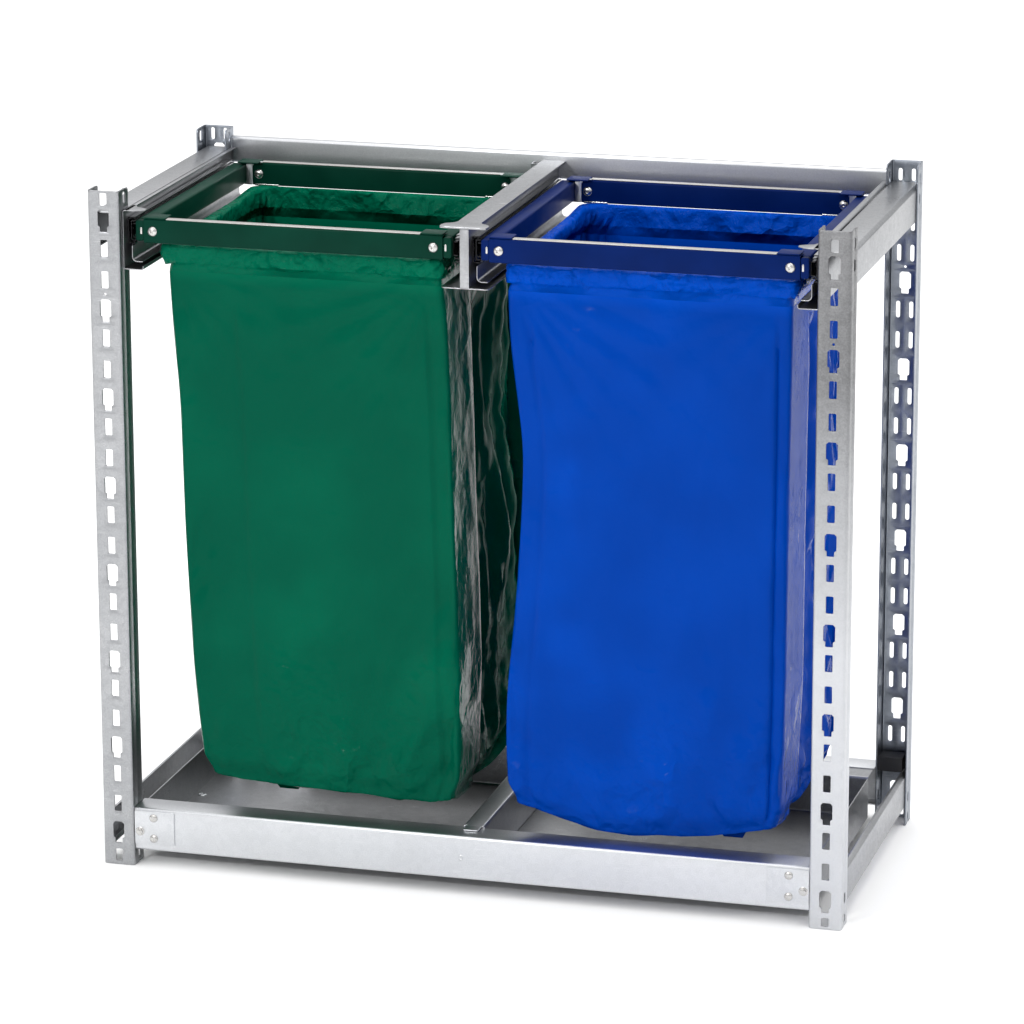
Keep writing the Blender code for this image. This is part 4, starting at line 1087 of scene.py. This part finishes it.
def creased(s, z, seed, size, stretch, count=7):
    """Crumpled film, from about -1 to 1: triangle waves of several directions and lengths, each bent
    by smooth noise and strong only in patches. Their straight flanks and sharp crests read as
    creases. Stretch lengthens them down the sack."""
    draw = np.random.default_rng(seed)
    total = np.zeros(np.broadcast(s, z).shape)
    for _ in range(count):
        angle, wave = draw.uniform(0, math.pi), size * draw.uniform(0.6, 1.8)
        du, dz = math.cos(angle) / wave, math.sin(angle) / (wave * stretch)
        bend = smooth_noise(s / size * 0.5 + 7, z / (size * stretch) * 0.5 + 3, draw)
        phase = s * du + z * dz + 1.3 * bend + draw.random()
        ridge = np.abs(phase - np.floor(phase) - 0.5) * 4 - 1
        patch = smooth_noise(s / size * 0.45 + 11, z / (size * stretch) * 0.45 + 5, draw)
        total = total + ridge * np.clip((patch - 0.40) * 3.2, 0, 1) * (wave / size)
    return total / 2.2


def ease(value, low, high):
    """Smooth step from 0 at low to 1 at high."""
    t = np.clip((value - low) / (high - low), 0, 1)
    return t * t * (3 - 2 * t)


def by_height(table, z):
    """A quantity in millimetres given at heights in metres, read off at any height by smooth
    interpolation: straight steps averaged over a short span."""
    heights, values = np.array(table, float).T
    order = np.argsort(heights)
    shift = np.linspace(-0.03, 0.03, 7)[:, None]
    read = np.interp(z.reshape(1, -1) + shift, heights[order], values[order]).mean(0)
    return read.reshape(z.shape) * MM


SACK_SHAPES = {
    "green": {
        "left": ((0.82, 0), (0.735, 5), (0.643, 13), (0.463, 17), (0.283, 25), (0.199, 31), (0.12, 38)),
        "right": ((0.82, 4), (0.79, -3), (0.665, -9), (0.503, -13), (0.395, -17), (0.272, -20), (0.12, -19)),
        "front": ((0.82, 9), (0.55, 5), (0.25, 3), (0.12, 6)),
        "rear": ((0.82, 7), (0.55, 9), (0.25, 9), (0.12, 14)),
        "tuck": (8, 24), "valley": 30, "valley_at": 0.56, "seed": 11,
        "creases": ((0.235, -3.4), (0.940, -3.6)), "pull": (0.7, 2.0), "front_crumple": 1.05,
        "edge": ((0.0, 0.126), (0.12, 0.119), (0.5, 0.115), (0.9, 0.110), (1.0, 0.117)),
    },
    "blue": {
        "left": ((0.82, -7), (0.743, -4), (0.670, 6), (0.603, 14), (0.510, 11), (0.401, 4), (0.277, -8),
                 (0.207, -11), (0.12, -9)),
        "right": ((0.82, 6), (0.6, 8), (0.3, 9), (0.12, 12)),
        "front": ((0.82, 9), (0.55, 5), (0.25, 2), (0.12, 5)),
        "rear": ((0.82, 7), (0.55, 9), (0.25, 9), (0.12, 14)),
        "tuck": (24, 12), "valley": 26, "valley_at": 0.50, "seed": 29,
        "creases": ((0.085, -3.4), (0.955, -3.8)), "pull": (2.0, 0.7), "front_crumple": 1.1,
        "edge": ((0.0, 0.122), (0.1, 0.113), (0.32, 0.092), (0.45, 0.089), (0.75, 0.098), (1.0, 0.116)),
    },
}
LOWEST_FILM = 0.0875
CUFF_TOP, CUFF_FOLD = 0.822, 0.800


def sack_columns():
    """Places round a sack: side number 0 to 3 (rear, left, front, right, from the rear right corner)
    and the share of the way along it. Places are closer together near the corners."""
    counts = (52, 62, 84, 66)
    side, share_along = [], []
    for number, count in enumerate(counts):
        even = np.arange(count) / count
        share_along.append(0.55 * even + 0.45 * (0.5 - 0.5 * np.cos(math.pi * even)))
        side.append(np.full(count, number))
    return np.concatenate(side), np.concatenate(share_along)


def round_box(side, share_along, left, right, front, rear, radius):
    """Point on a box of rounded corners: a point is taken on the sharp box, pulled to the inner box
    whose sides are a radius in, and pushed back out by the radius."""
    x = np.select([side == 0, side == 1, side == 2], [right + (left - right) * share_along, left,
                                                      left + (right - left) * share_along], right)
    y = np.select([side == 0, side == 1, side == 2], [rear, rear + (front - rear) * share_along, front],
                  front + (rear - front) * share_along)
    inner_x = np.clip(x, left + radius, right - radius)
    inner_y = np.clip(y, front + radius, rear - radius)
    dx, dy = x - inner_x, y - inner_y
    reach = np.maximum(np.hypot(dx, dy), 1e-9)
    return inner_x + dx / reach * radius, inner_y + dy / reach * radius


def sack_surface(colour, sack):
    """The film of one sack as rows down a path and columns round it. The path starts at the cuff's
    hem, climbs outside the ring, rolls over it, drops inside and becomes the body, whose four sides
    follow the shape's tables, and ends in the underside, which closes on a seam line. Gusset
    valleys, edge creases, tension folds from the ring's corners, pleats and crumples move it
    along its own normal."""
    shape = SACK_SHAPES[colour]
    low, high = corners_of(f"{colour}_sack_ring")
    wire = (high[2] - low[2]) / 2
    ring_z = (low[2] + high[2]) / 2
    side, along = sack_columns()
    side, along = side[None, :], along[None, :]
    hem = high[2] + 3.3 * MM - sack.cuff
    cuff_rows, roll_rows, drop_rows, body_rows, under_rows = 9, 9, 7, 118, 22
    roll = np.linspace(0, math.pi, roll_rows + 1)[1:]
    gap = wire + 2.4 * MM
    z_top = np.concatenate([np.linspace(hem, ring_z, cuff_rows), ring_z + (gap - 0.6 * MM) * np.sin(roll),
                            np.linspace(ring_z, 0.820, drop_rows + 1)[1:]])
    flare = (2.4 * MM) * np.clip((ring_z - z_top[:cuff_rows]) / sack.cuff, 0, 1)
    out_top = np.concatenate([gap + flare, gap * np.cos(roll), np.full(drop_rows, -gap)])
    edge_height = np.interp(along, *np.array(shape["edge"]).T)
    corner_rise = 6 * MM
    bottom = np.where(side == 2, edge_height, np.where(side == 3, shape["edge"][-1][1] - corner_rise * along,
                      np.where(side == 1, shape["edge"][0][1] - corner_rise * (1 - along),
                               shape["edge"][0][1] - corner_rise + (shape["edge"][-1][1] - shape["edge"][0][1])
                               * (1 - along))))
    fall = np.linspace(0, 1, body_rows + 1)[1:, None]
    fall = fall * 0.8 + 0.2 * (1 - (1 - fall) ** 2)
    z_body = 0.820 + (bottom - 0.820) * fall
    z = np.concatenate([np.broadcast_to(z_top[:, None], (len(z_top), side.shape[1])), z_body])
    out = np.concatenate([out_top, np.full(body_rows, -gap)])[:, None]
    ring = [low[0] + wire - out - 5 * MM * (out > 0), high[0] - wire + out, low[1] + wire - out, high[1] - wire + out]
    ring_radius = 30 * MM + out - 24 * MM * np.clip((out + gap) / (2 * gap), 0, 1)
    share_body = ease(-z, -0.842, -0.814)
    walls = [low[0] + by_height(shape["left"], z), high[0] - by_height(shape["right"], z),
             low[1] + by_height(shape["front"], z), high[1] - by_height(shape["rear"], z)]
    lower = ease(-z, -0.30, -0.14)
    radius = (7 + 4 * lower) * MM
    mixed = [r * (1 - share_body) + w * share_body for r, w in zip(ring, walls)]
    turn_in = ease(fall, 0.955, 1.0) * 9 * MM
    turn_in = np.concatenate([np.zeros((len(z_top), 1)), np.broadcast_to(turn_in, (body_rows, 1))])
    mixed = [mixed[0] + turn_in, mixed[1] - turn_in, mixed[2] + turn_in, mixed[3] - turn_in]
    x, y = round_box(side, along, *mixed, ring_radius * (1 - share_body) + radius * share_body)
    depth_share = (y - low[1]) / (high[1] - low[1])
    below = ease(-z, -0.82, -0.68)
    x = x + np.where(side == 1, shape["tuck"][0], 0) * MM * depth_share * below
    x = x - np.where(side == 3, shape["tuck"][1], 0) * MM * depth_share * below
    edge_x, edge_y, edge_z = x[-1:], y[-1:], z[-1:]
    close = np.linspace(0, 1, under_rows + 1)[1:, None]
    seam_y = -0.030
    squeeze = close ** 1.15
    middle_x = (edge_x.min() + edge_x.max()) / 2
    under_x = middle_x + (edge_x - middle_x) * (1 - 0.10 * squeeze)
    under_y = edge_y + (seam_y - edge_y) * squeeze
    under_z = edge_z + (LOWEST_FILM + 9 * MM - edge_z) * ease(close, 0, 0.75) * 0.9 - 5 * MM * np.sin(math.pi * close)
    x, y, z = (np.concatenate(pair) for pair in ((x, under_x), (y, under_y), (z, under_z)))
    points = np.stack([x, y, z], -1)
    return moved_film(points, side, along, shape, sack, len(z_top), body_rows, low, high)


def film_normals(points):
    """Unit normals of the grid from its central differences, round the columns and down the rows."""
    round_way = np.roll(points, -1, 1) - np.roll(points, 1, 1)
    down_way = np.gradient(points, axis=0)
    normal = np.cross(down_way, round_way)
    return normal / np.maximum(np.linalg.norm(normal, axis=-1, keepdims=True), 1e-9)


def moved_film(points, side, along, shape, sack, top_rows, body_rows, low, high):
    """Moves the film along its normal by its folds."""
    side = np.broadcast_to(side, points.shape[:2])
    along = np.broadcast_to(along, points.shape[:2])
    rows = np.arange(points.shape[0])[:, None]
    z = points[..., 2]
    step = np.linalg.norm(np.roll(points, -1, 1) - points, axis=-1)
    around = np.cumsum(step[top_rows + body_rows // 2]) [None, :]
    around = np.broadcast_to(around, points.shape[:2])
    down = np.concatenate([np.zeros((1, points.shape[1])), np.cumsum(
        np.linalg.norm(np.diff(points, axis=0), axis=-1), 0)])
    is_body = (rows >= top_rows) & (rows < top_rows + body_rows)
    is_cuff = rows < 10
    under = rows >= top_rows + body_rows
    seed, crumple = shape["seed"], sack.crumple
    front, flank = side == 2, (side == 1) | (side == 3)
    begin = ease(-z, -0.815, -0.74)
    seam_fade = np.minimum(ease(around, 0, 0.05), ease(around[:, -1:] - around, 0, 0.05))
    corner_fade = ease(np.minimum(along, 1 - along), 0.0, 0.06)

    # flanks: a bulge behind the front corner, the gusset's valley, and the rear part coming back
    # out, given as offsets at shares of the way from front to rear
    onward = np.where(side == 3, along, 1 - along)
    middle = shape["valley_at"]
    section = np.interp(onward, [0, middle - 0.24, middle - 0.03, middle + 0.25, 0.92, 1],
                        [0, 0.26, -1.0, -0.05, 0.08, 0])
    deep = shape["valley"] * MM * ease(-z, -0.82, -0.70) * (1 - 0.45 * ease(-z, -0.30, -0.14))
    push = np.where(flank, deep * section, 0.0) * (is_body | under)

    # crumpled flanks, stronger behind the valley
    long_creases = creased(around, z, seed + 1, 0.040, 4.5)
    short_creases = creased(around, z, seed + 2, 0.022, 1.7)
    behind = ease(onward, middle - 0.22, middle + 0.02)
    strength = np.where(flank, 0.06 + 0.94 * behind, 0.5)
    push = push + np.where(front, 0, 1) * crumple * strength * corner_fade * begin * (
        long_creases * 0.80 + short_creases * 0.22)

    # the front: creases beside the edges, tension folds from the ring's corners, soft dents
    for place, height in shape["creases"]:
        offset = (along - place) * (high[0] - low[0])
        line = np.exp(-(offset / (2.2 * MM)) ** 2) * height * MM
        shelf = np.tanh(offset / (2.5 * MM)) * 0.5 * abs(height) * MM * (1 if place < 0.5 else -1)
        push = push + np.where(front & (is_body | under), (line + shelf) * begin, 0)
    for number, corner_x in enumerate((low[0], high[0])):
        dx, dz = np.abs(points[..., 0] - corner_x), np.abs(z - 0.83)
        angle, far = np.arctan2(dx, dz), np.hypot(dx, dz)
        fan = np.abs(((angle * 6.5 / math.pi * 2 + 0.3 * smooth_noise(angle * 4, far * 9, np.random.default_rng(
            seed + 40 + number))) % 1) - 0.5) * 4 - 1
        fade = ease(far, 0.02, 0.09) * np.exp(-(far / 0.26) ** 2) * ease(angle, 0.02, 0.25)
        push = push + np.where(front & is_body, fan * fade * shape["pull"][number] * MM, 0)
    dents = creased(around, z, seed + 3, 0.075, 2.4)
    small = creased(around, z, seed + 4, 0.030, 1.5)
    busy = 0.35 + 0.9 * ease(-z, -0.46, -0.22) * ease(along, 0.45, 0.75) + 0.2 * ease(-z, -0.24, -0.15)
    busy = busy + 0.55 * ease(-along, -0.2, -0.05) + 0.4 * ease(along, 0.9, 0.98)
    push = push + np.where(front & (is_body | under), shape["front_crumple"] * busy * begin * (
        dents * 3.6 + small * 1.6) * MM, 0) * ease(np.minimum(along, 1 - along), 0, 0.02)
    slack = -3.0 * MM * np.sin(math.pi * along) * ease(-z, -0.8, -0.6)
    push = push + np.where(front & is_body, slack, 0)

    # folds of the hanging bottom and its underside
    sag = creased(around, down, seed + 5, 0.045, 1.2)
    low_part = ease(-z, -0.20, -0.12)
    push = push + sag * low_part * 2.0 * MM * np.where(under, 0.6, 1.0) * seam_fade

    # pleats under the ring's rear corners, inside and out, and the creases of the cuff
    near_rear = np.where(side == 0, np.minimum(along, 1 - along) * 0.37,
                         np.where(side == 1, along * 0.38, np.where(side == 3, (1 - along) * 0.38, 1.0)))
    pleat = np.sin(around * 2 * math.pi / 0.0135 + 1.2 * np.sin(around * 90))
    drop = np.exp(-np.clip(0.845 - z, 0, 1) / 0.075) * ease(rows * 1.0, 17, 21)
    hooked = np.where((side == 0) & (along > 0.5) | (side == 1) & (along < 0.5), 1.0, 0.35)
    push = push + pleat * hooked * np.exp(-(near_rear / 0.060) ** 2) * drop * 6.5 * MM
    wrinkle = creased(around, z, seed + 6, 0.016, 0.9)
    wave = smooth_noise(around * 22, z * 0 + 1, np.random.default_rng(seed + 7)) - 0.5
    push = push + np.where(is_cuff, wrinkle * 1.8 * MM + wave * 2.0 * MM, 0)
    push = np.where((rows >= 10) & (rows < 18), push * 0.6, push)
    push = push * np.where(is_cuff, seam_fade, 1.0)
    fold_row = top_rows + body_rows
    near_fold = np.exp(-((rows - fold_row) / 4.0) ** 2)
    push = push * (1 - 0.85 * near_fold)
    points = points + film_normals(points) * push[..., None]
    backness = ease(points[..., 1], high[1] - 0.10, high[1] - 0.01)
    points[..., 2] += 5.0 * MM * backness * np.exp(-((rows - 13.5) / 5.0) ** 2)
    lift_hem = (smooth_noise(around * 14, z * 0 + 3, np.random.default_rng(seed + 8)) - 0.5) * 5.0 * MM
    points[..., 2] += np.where(is_cuff, lift_hem * (1 - rows / 10.0), 0)
    points[..., 2] = np.maximum(points[..., 2], LOWEST_FILM + 0.4 * MM)
    return points


EARS = {"green": ((-0.18, 0.30, -0.120, 0.034), (0.28, 0.20, -0.100, 0.040)),
        "blue": ((-0.22, 0.26, -0.150, 0.040), (0.24, 0.30, -0.158, 0.044))}


def ear_surface(centre, reach, width, front, drop, seed):
    """Folded ear under a sack: a patch whose upper edge is a line across and whose lower edge
    narrows to a blunt tip, p across and q down. It leans forward as q grows, and creases run
    from the tip: the offset is a triangle wave of the angle about the tip."""
    p, q = np.meshgrid(np.linspace(-1, 1, 37), np.linspace(0, 1, 15))
    taper = 1 - 0.78 * q ** 0.8
    x = centre + reach + p * width / 2 * taper + 0.10 * width * q
    top = LOWEST_FILM + drop
    z = top + (LOWEST_FILM + 1.2 * MM - top) * q + 5 * MM * p * p * (1 - q)
    fan = np.abs(((p * 2.6 + 0.3 * q + seed * 0.37) % 1) - 0.5) * 4 - 1
    y = front + 26 * MM * (1 - q) + 2.2 * MM * fan * np.sin(math.pi * np.clip(q + 0.15, 0, 1))
    return np.stack([x, y, z], -1).reshape(-1, 3), cells(15, 37)


class STATION_OT_sacks(bpy.types.Operator):
    """Both sacks, each one sheet of film folded over its ring, with the flap of its bottom seam."""
    bl_idname = "station.sacks"
    bl_label = "Sacks"

    def execute(self, context):
        sack = context.scene.station_sack
        for colour in COLOURS:
            points = sack_surface(colour, sack)
            rows, columns = points.shape[:2]
            seam = points[-1].copy()
            seam[:, 1] = seam[:, 1].mean()
            points[-1] = seam
            piece(f"{colour}_sack_film", (points.reshape(-1, 3), cells(rows, columns, wrap=True)), f"{colour}_drawer",
                  f"{colour}_film", [f"{colour}_sack"], wall=sack.film, merge=0.02 * MM,
                  crease=75.0, even=False)
            low, high = corners_of(f"{colour}_sack")
            span = high[0] - low[0]
            for number, (reach, wide, front, drop) in enumerate(EARS[colour]):
                surface = ear_surface((low[0] + high[0]) / 2, reach * span, wide * span, front, drop, number + 1)
                piece(f"{colour}_sack_ear_{number + 1}", surface, f"{colour}_drawer",
                      f"{colour}_film", wall=sack.film, crease=75.0, even=False)
        return {"FINISHED"}


# ---------------------------------------------------------------- stage

class STATION_OT_stage(bpy.types.Operator):
    """Pale floor, soft lights and the camera."""
    bl_idname = "station.stage"
    bl_label = "Stage"

    def execute(self, context):
        stage, scene = context.scene.station_stage, context.scene
        self.floor(stage)
        self.camera(stage, scene)
        self.lights(stage, scene)
        scene.view_settings.view_transform = "Standard"
        scene.view_settings.look = "None"
        return {"FINISHED"}

    def floor(self, stage):
        """Large flat floor with a faint tone variation."""
        half = 30.0
        points = lift(np.array(rectangle((-half, -half), (half, half))), 0.0, "Z")
        mesh = raw_mesh("floor", points, [[0, 1, 2, 3]])
        ground = bpy.data.objects.new("floor", mesh)
        bpy.context.scene.collection.objects.link(ground)
        material, tree, shader, place = new_material("floor")
        cloud = tree.add("ShaderNodeTexNoise", {"Vector": place, "Scale": 0.8}).outputs["Fac"]
        colour = tuple(stage.floor)
        tree.tree.links.new(tree.mix(cloud, (*colour, 1), (*[min(1, c * 1.02) for c in colour], 1)),
                            shader.inputs["Base Color"])
        shader.inputs["Roughness"].default_value = 0.9
        mesh.materials.append(material)
        ground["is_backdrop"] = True

    def camera(self, stage, scene):
        """Camera on a ring about the station, looking at its target, turned by its roll."""
        turn, rise = math.radians(stage.azimuth), math.radians(stage.elevation)
        back = np.array([math.sin(turn) * math.cos(rise), -math.cos(turn) * math.cos(rise), math.sin(rise)])
        target = np.array([0.0003, 0.0, stage.height])
        right = np.cross(-back, (0, 0, 1))
        right /= np.linalg.norm(right)
        up = np.cross(right, -back)
        roll = math.radians(stage.roll)
        right, up = right * math.cos(roll) + up * math.sin(roll), up * math.cos(roll) - right * math.sin(roll)
        place = target + back * stage.distance
        matrix = Matrix([[right[i], up[i], back[i], place[i]] for i in range(3)] + [[0, 0, 0, 1]])
        lens = bpy.data.cameras.new("camera")
        lens.sensor_width, lens.lens = 36.0, stage.lens
        lens.clip_end = 100.0
        eye = bpy.data.objects.new("camera", lens)
        scene.collection.objects.link(eye)
        eye.matrix_world = matrix
        scene.camera = eye

    def lights(self, stage, scene):
        """Surrounding light that is brighter overhead, a soft key from the upper left, a wide top light and
        a small sparkle light for the film."""
        world = bpy.data.worlds.new("studio")
        world.use_nodes = True
        tree = Tree(world.node_tree)
        ground = world.node_tree.nodes["Background"]
        way = tree.add("ShaderNodeSeparateXYZ", {"Vector": tree.add("ShaderNodeTexCoord").outputs["Generated"]})
        level = tree.span(way.outputs["Z"], 0.05, 0.95, 0.0, 1.0)
        shade = tree.mix(level, (0.50, 0.505, 0.515, 1), (1.75, 1.75, 1.75, 1))
        tree.tree.links.new(shade, ground.inputs["Color"])
        ground.inputs["Strength"].default_value = stage.sky
        scene.world = world
        for name, place, aim, size, power in (
                ("key", (-2.6, -4.2, 4.6), (0, 0, 0.5), 1.6, 12.0),
                ("top", (0.4, 1.0, 4.5), (0, 0, 0.3), 3.0, 55.0),
                ("sparkle", (-1.3, -4.4, 2.4), (0.0, -0.2, 0.8), 0.16, 52.0)):
            data = bpy.data.lights.new(name, "AREA")
            data.shape, data.size, data.energy = "SQUARE", size, power
            lamp = bpy.data.objects.new(name, data)
            scene.collection.objects.link(lamp)
            back = np.array(place, float) - np.array(aim, float)
            back /= np.linalg.norm(back)
            right = np.cross((0, 0, 1), back)
            right /= np.linalg.norm(right)
            up = np.cross(back, right)
            lamp.matrix_world = Matrix([[right[i], up[i], back[i], place[i]] for i in range(3)] + [[0, 0, 0, 1]])


# ---------------------------------------------------------------- panel and registration

SETTINGS = (("station_steel", StationSteelSettings), ("station_paint", StationPaintSettings),
            ("station_sack", StationSackSettings), ("station_stage", StationStageSettings))
OPERATORS = (STATION_OT_posts, STATION_OT_beams, STATION_OT_base, STATION_OT_channels, STATION_OT_slides,
             STATION_OT_sack_frames, STATION_OT_sacks, STATION_OT_stage)


class STATION_PT_panel(bpy.types.Panel):
    """Lists the settings and the operators."""
    bl_idname = "STATION_PT_panel"
    bl_label = "Bin Station"
    bl_space_type = "VIEW_3D"
    bl_region_type = "UI"
    bl_category = "Bin Station"

    def draw(self, context):
        for operator in OPERATORS:
            self.layout.operator(operator.bl_idname)
        for name, settings in SETTINGS:
            box = self.layout.box()
            for key in settings.__annotations__:
                box.prop(getattr(context.scene, name), key)


def register():
    """Register the settings, operators and panel."""
    for name, settings in SETTINGS:
        bpy.utils.register_class(settings)
        setattr(bpy.types.Scene, name, PointerProperty(type=settings))
    for made in (*OPERATORS, STATION_PT_panel):
        bpy.utils.register_class(made)


def unregister():
    """Undo register."""
    for made in reversed((*OPERATORS, STATION_PT_panel)):
        bpy.utils.unregister_class(made)
    for name, settings in reversed(SETTINGS):
        delattr(bpy.types.Scene, name)
        bpy.utils.unregister_class(settings)


def main():
    """Register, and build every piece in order."""
    register()
    build_materials(bpy.context.scene)
    for operator in OPERATORS:
        category, name = operator.bl_idname.split(".")
        getattr(getattr(bpy.ops, category), name)()
    bpy.context.view_layer.update()
    sizes = {"cad": [list(corner) for corner in CAD_BOUNDS], "visual": [list(corner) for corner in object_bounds()]}


if __name__ == "__main__":
    main()
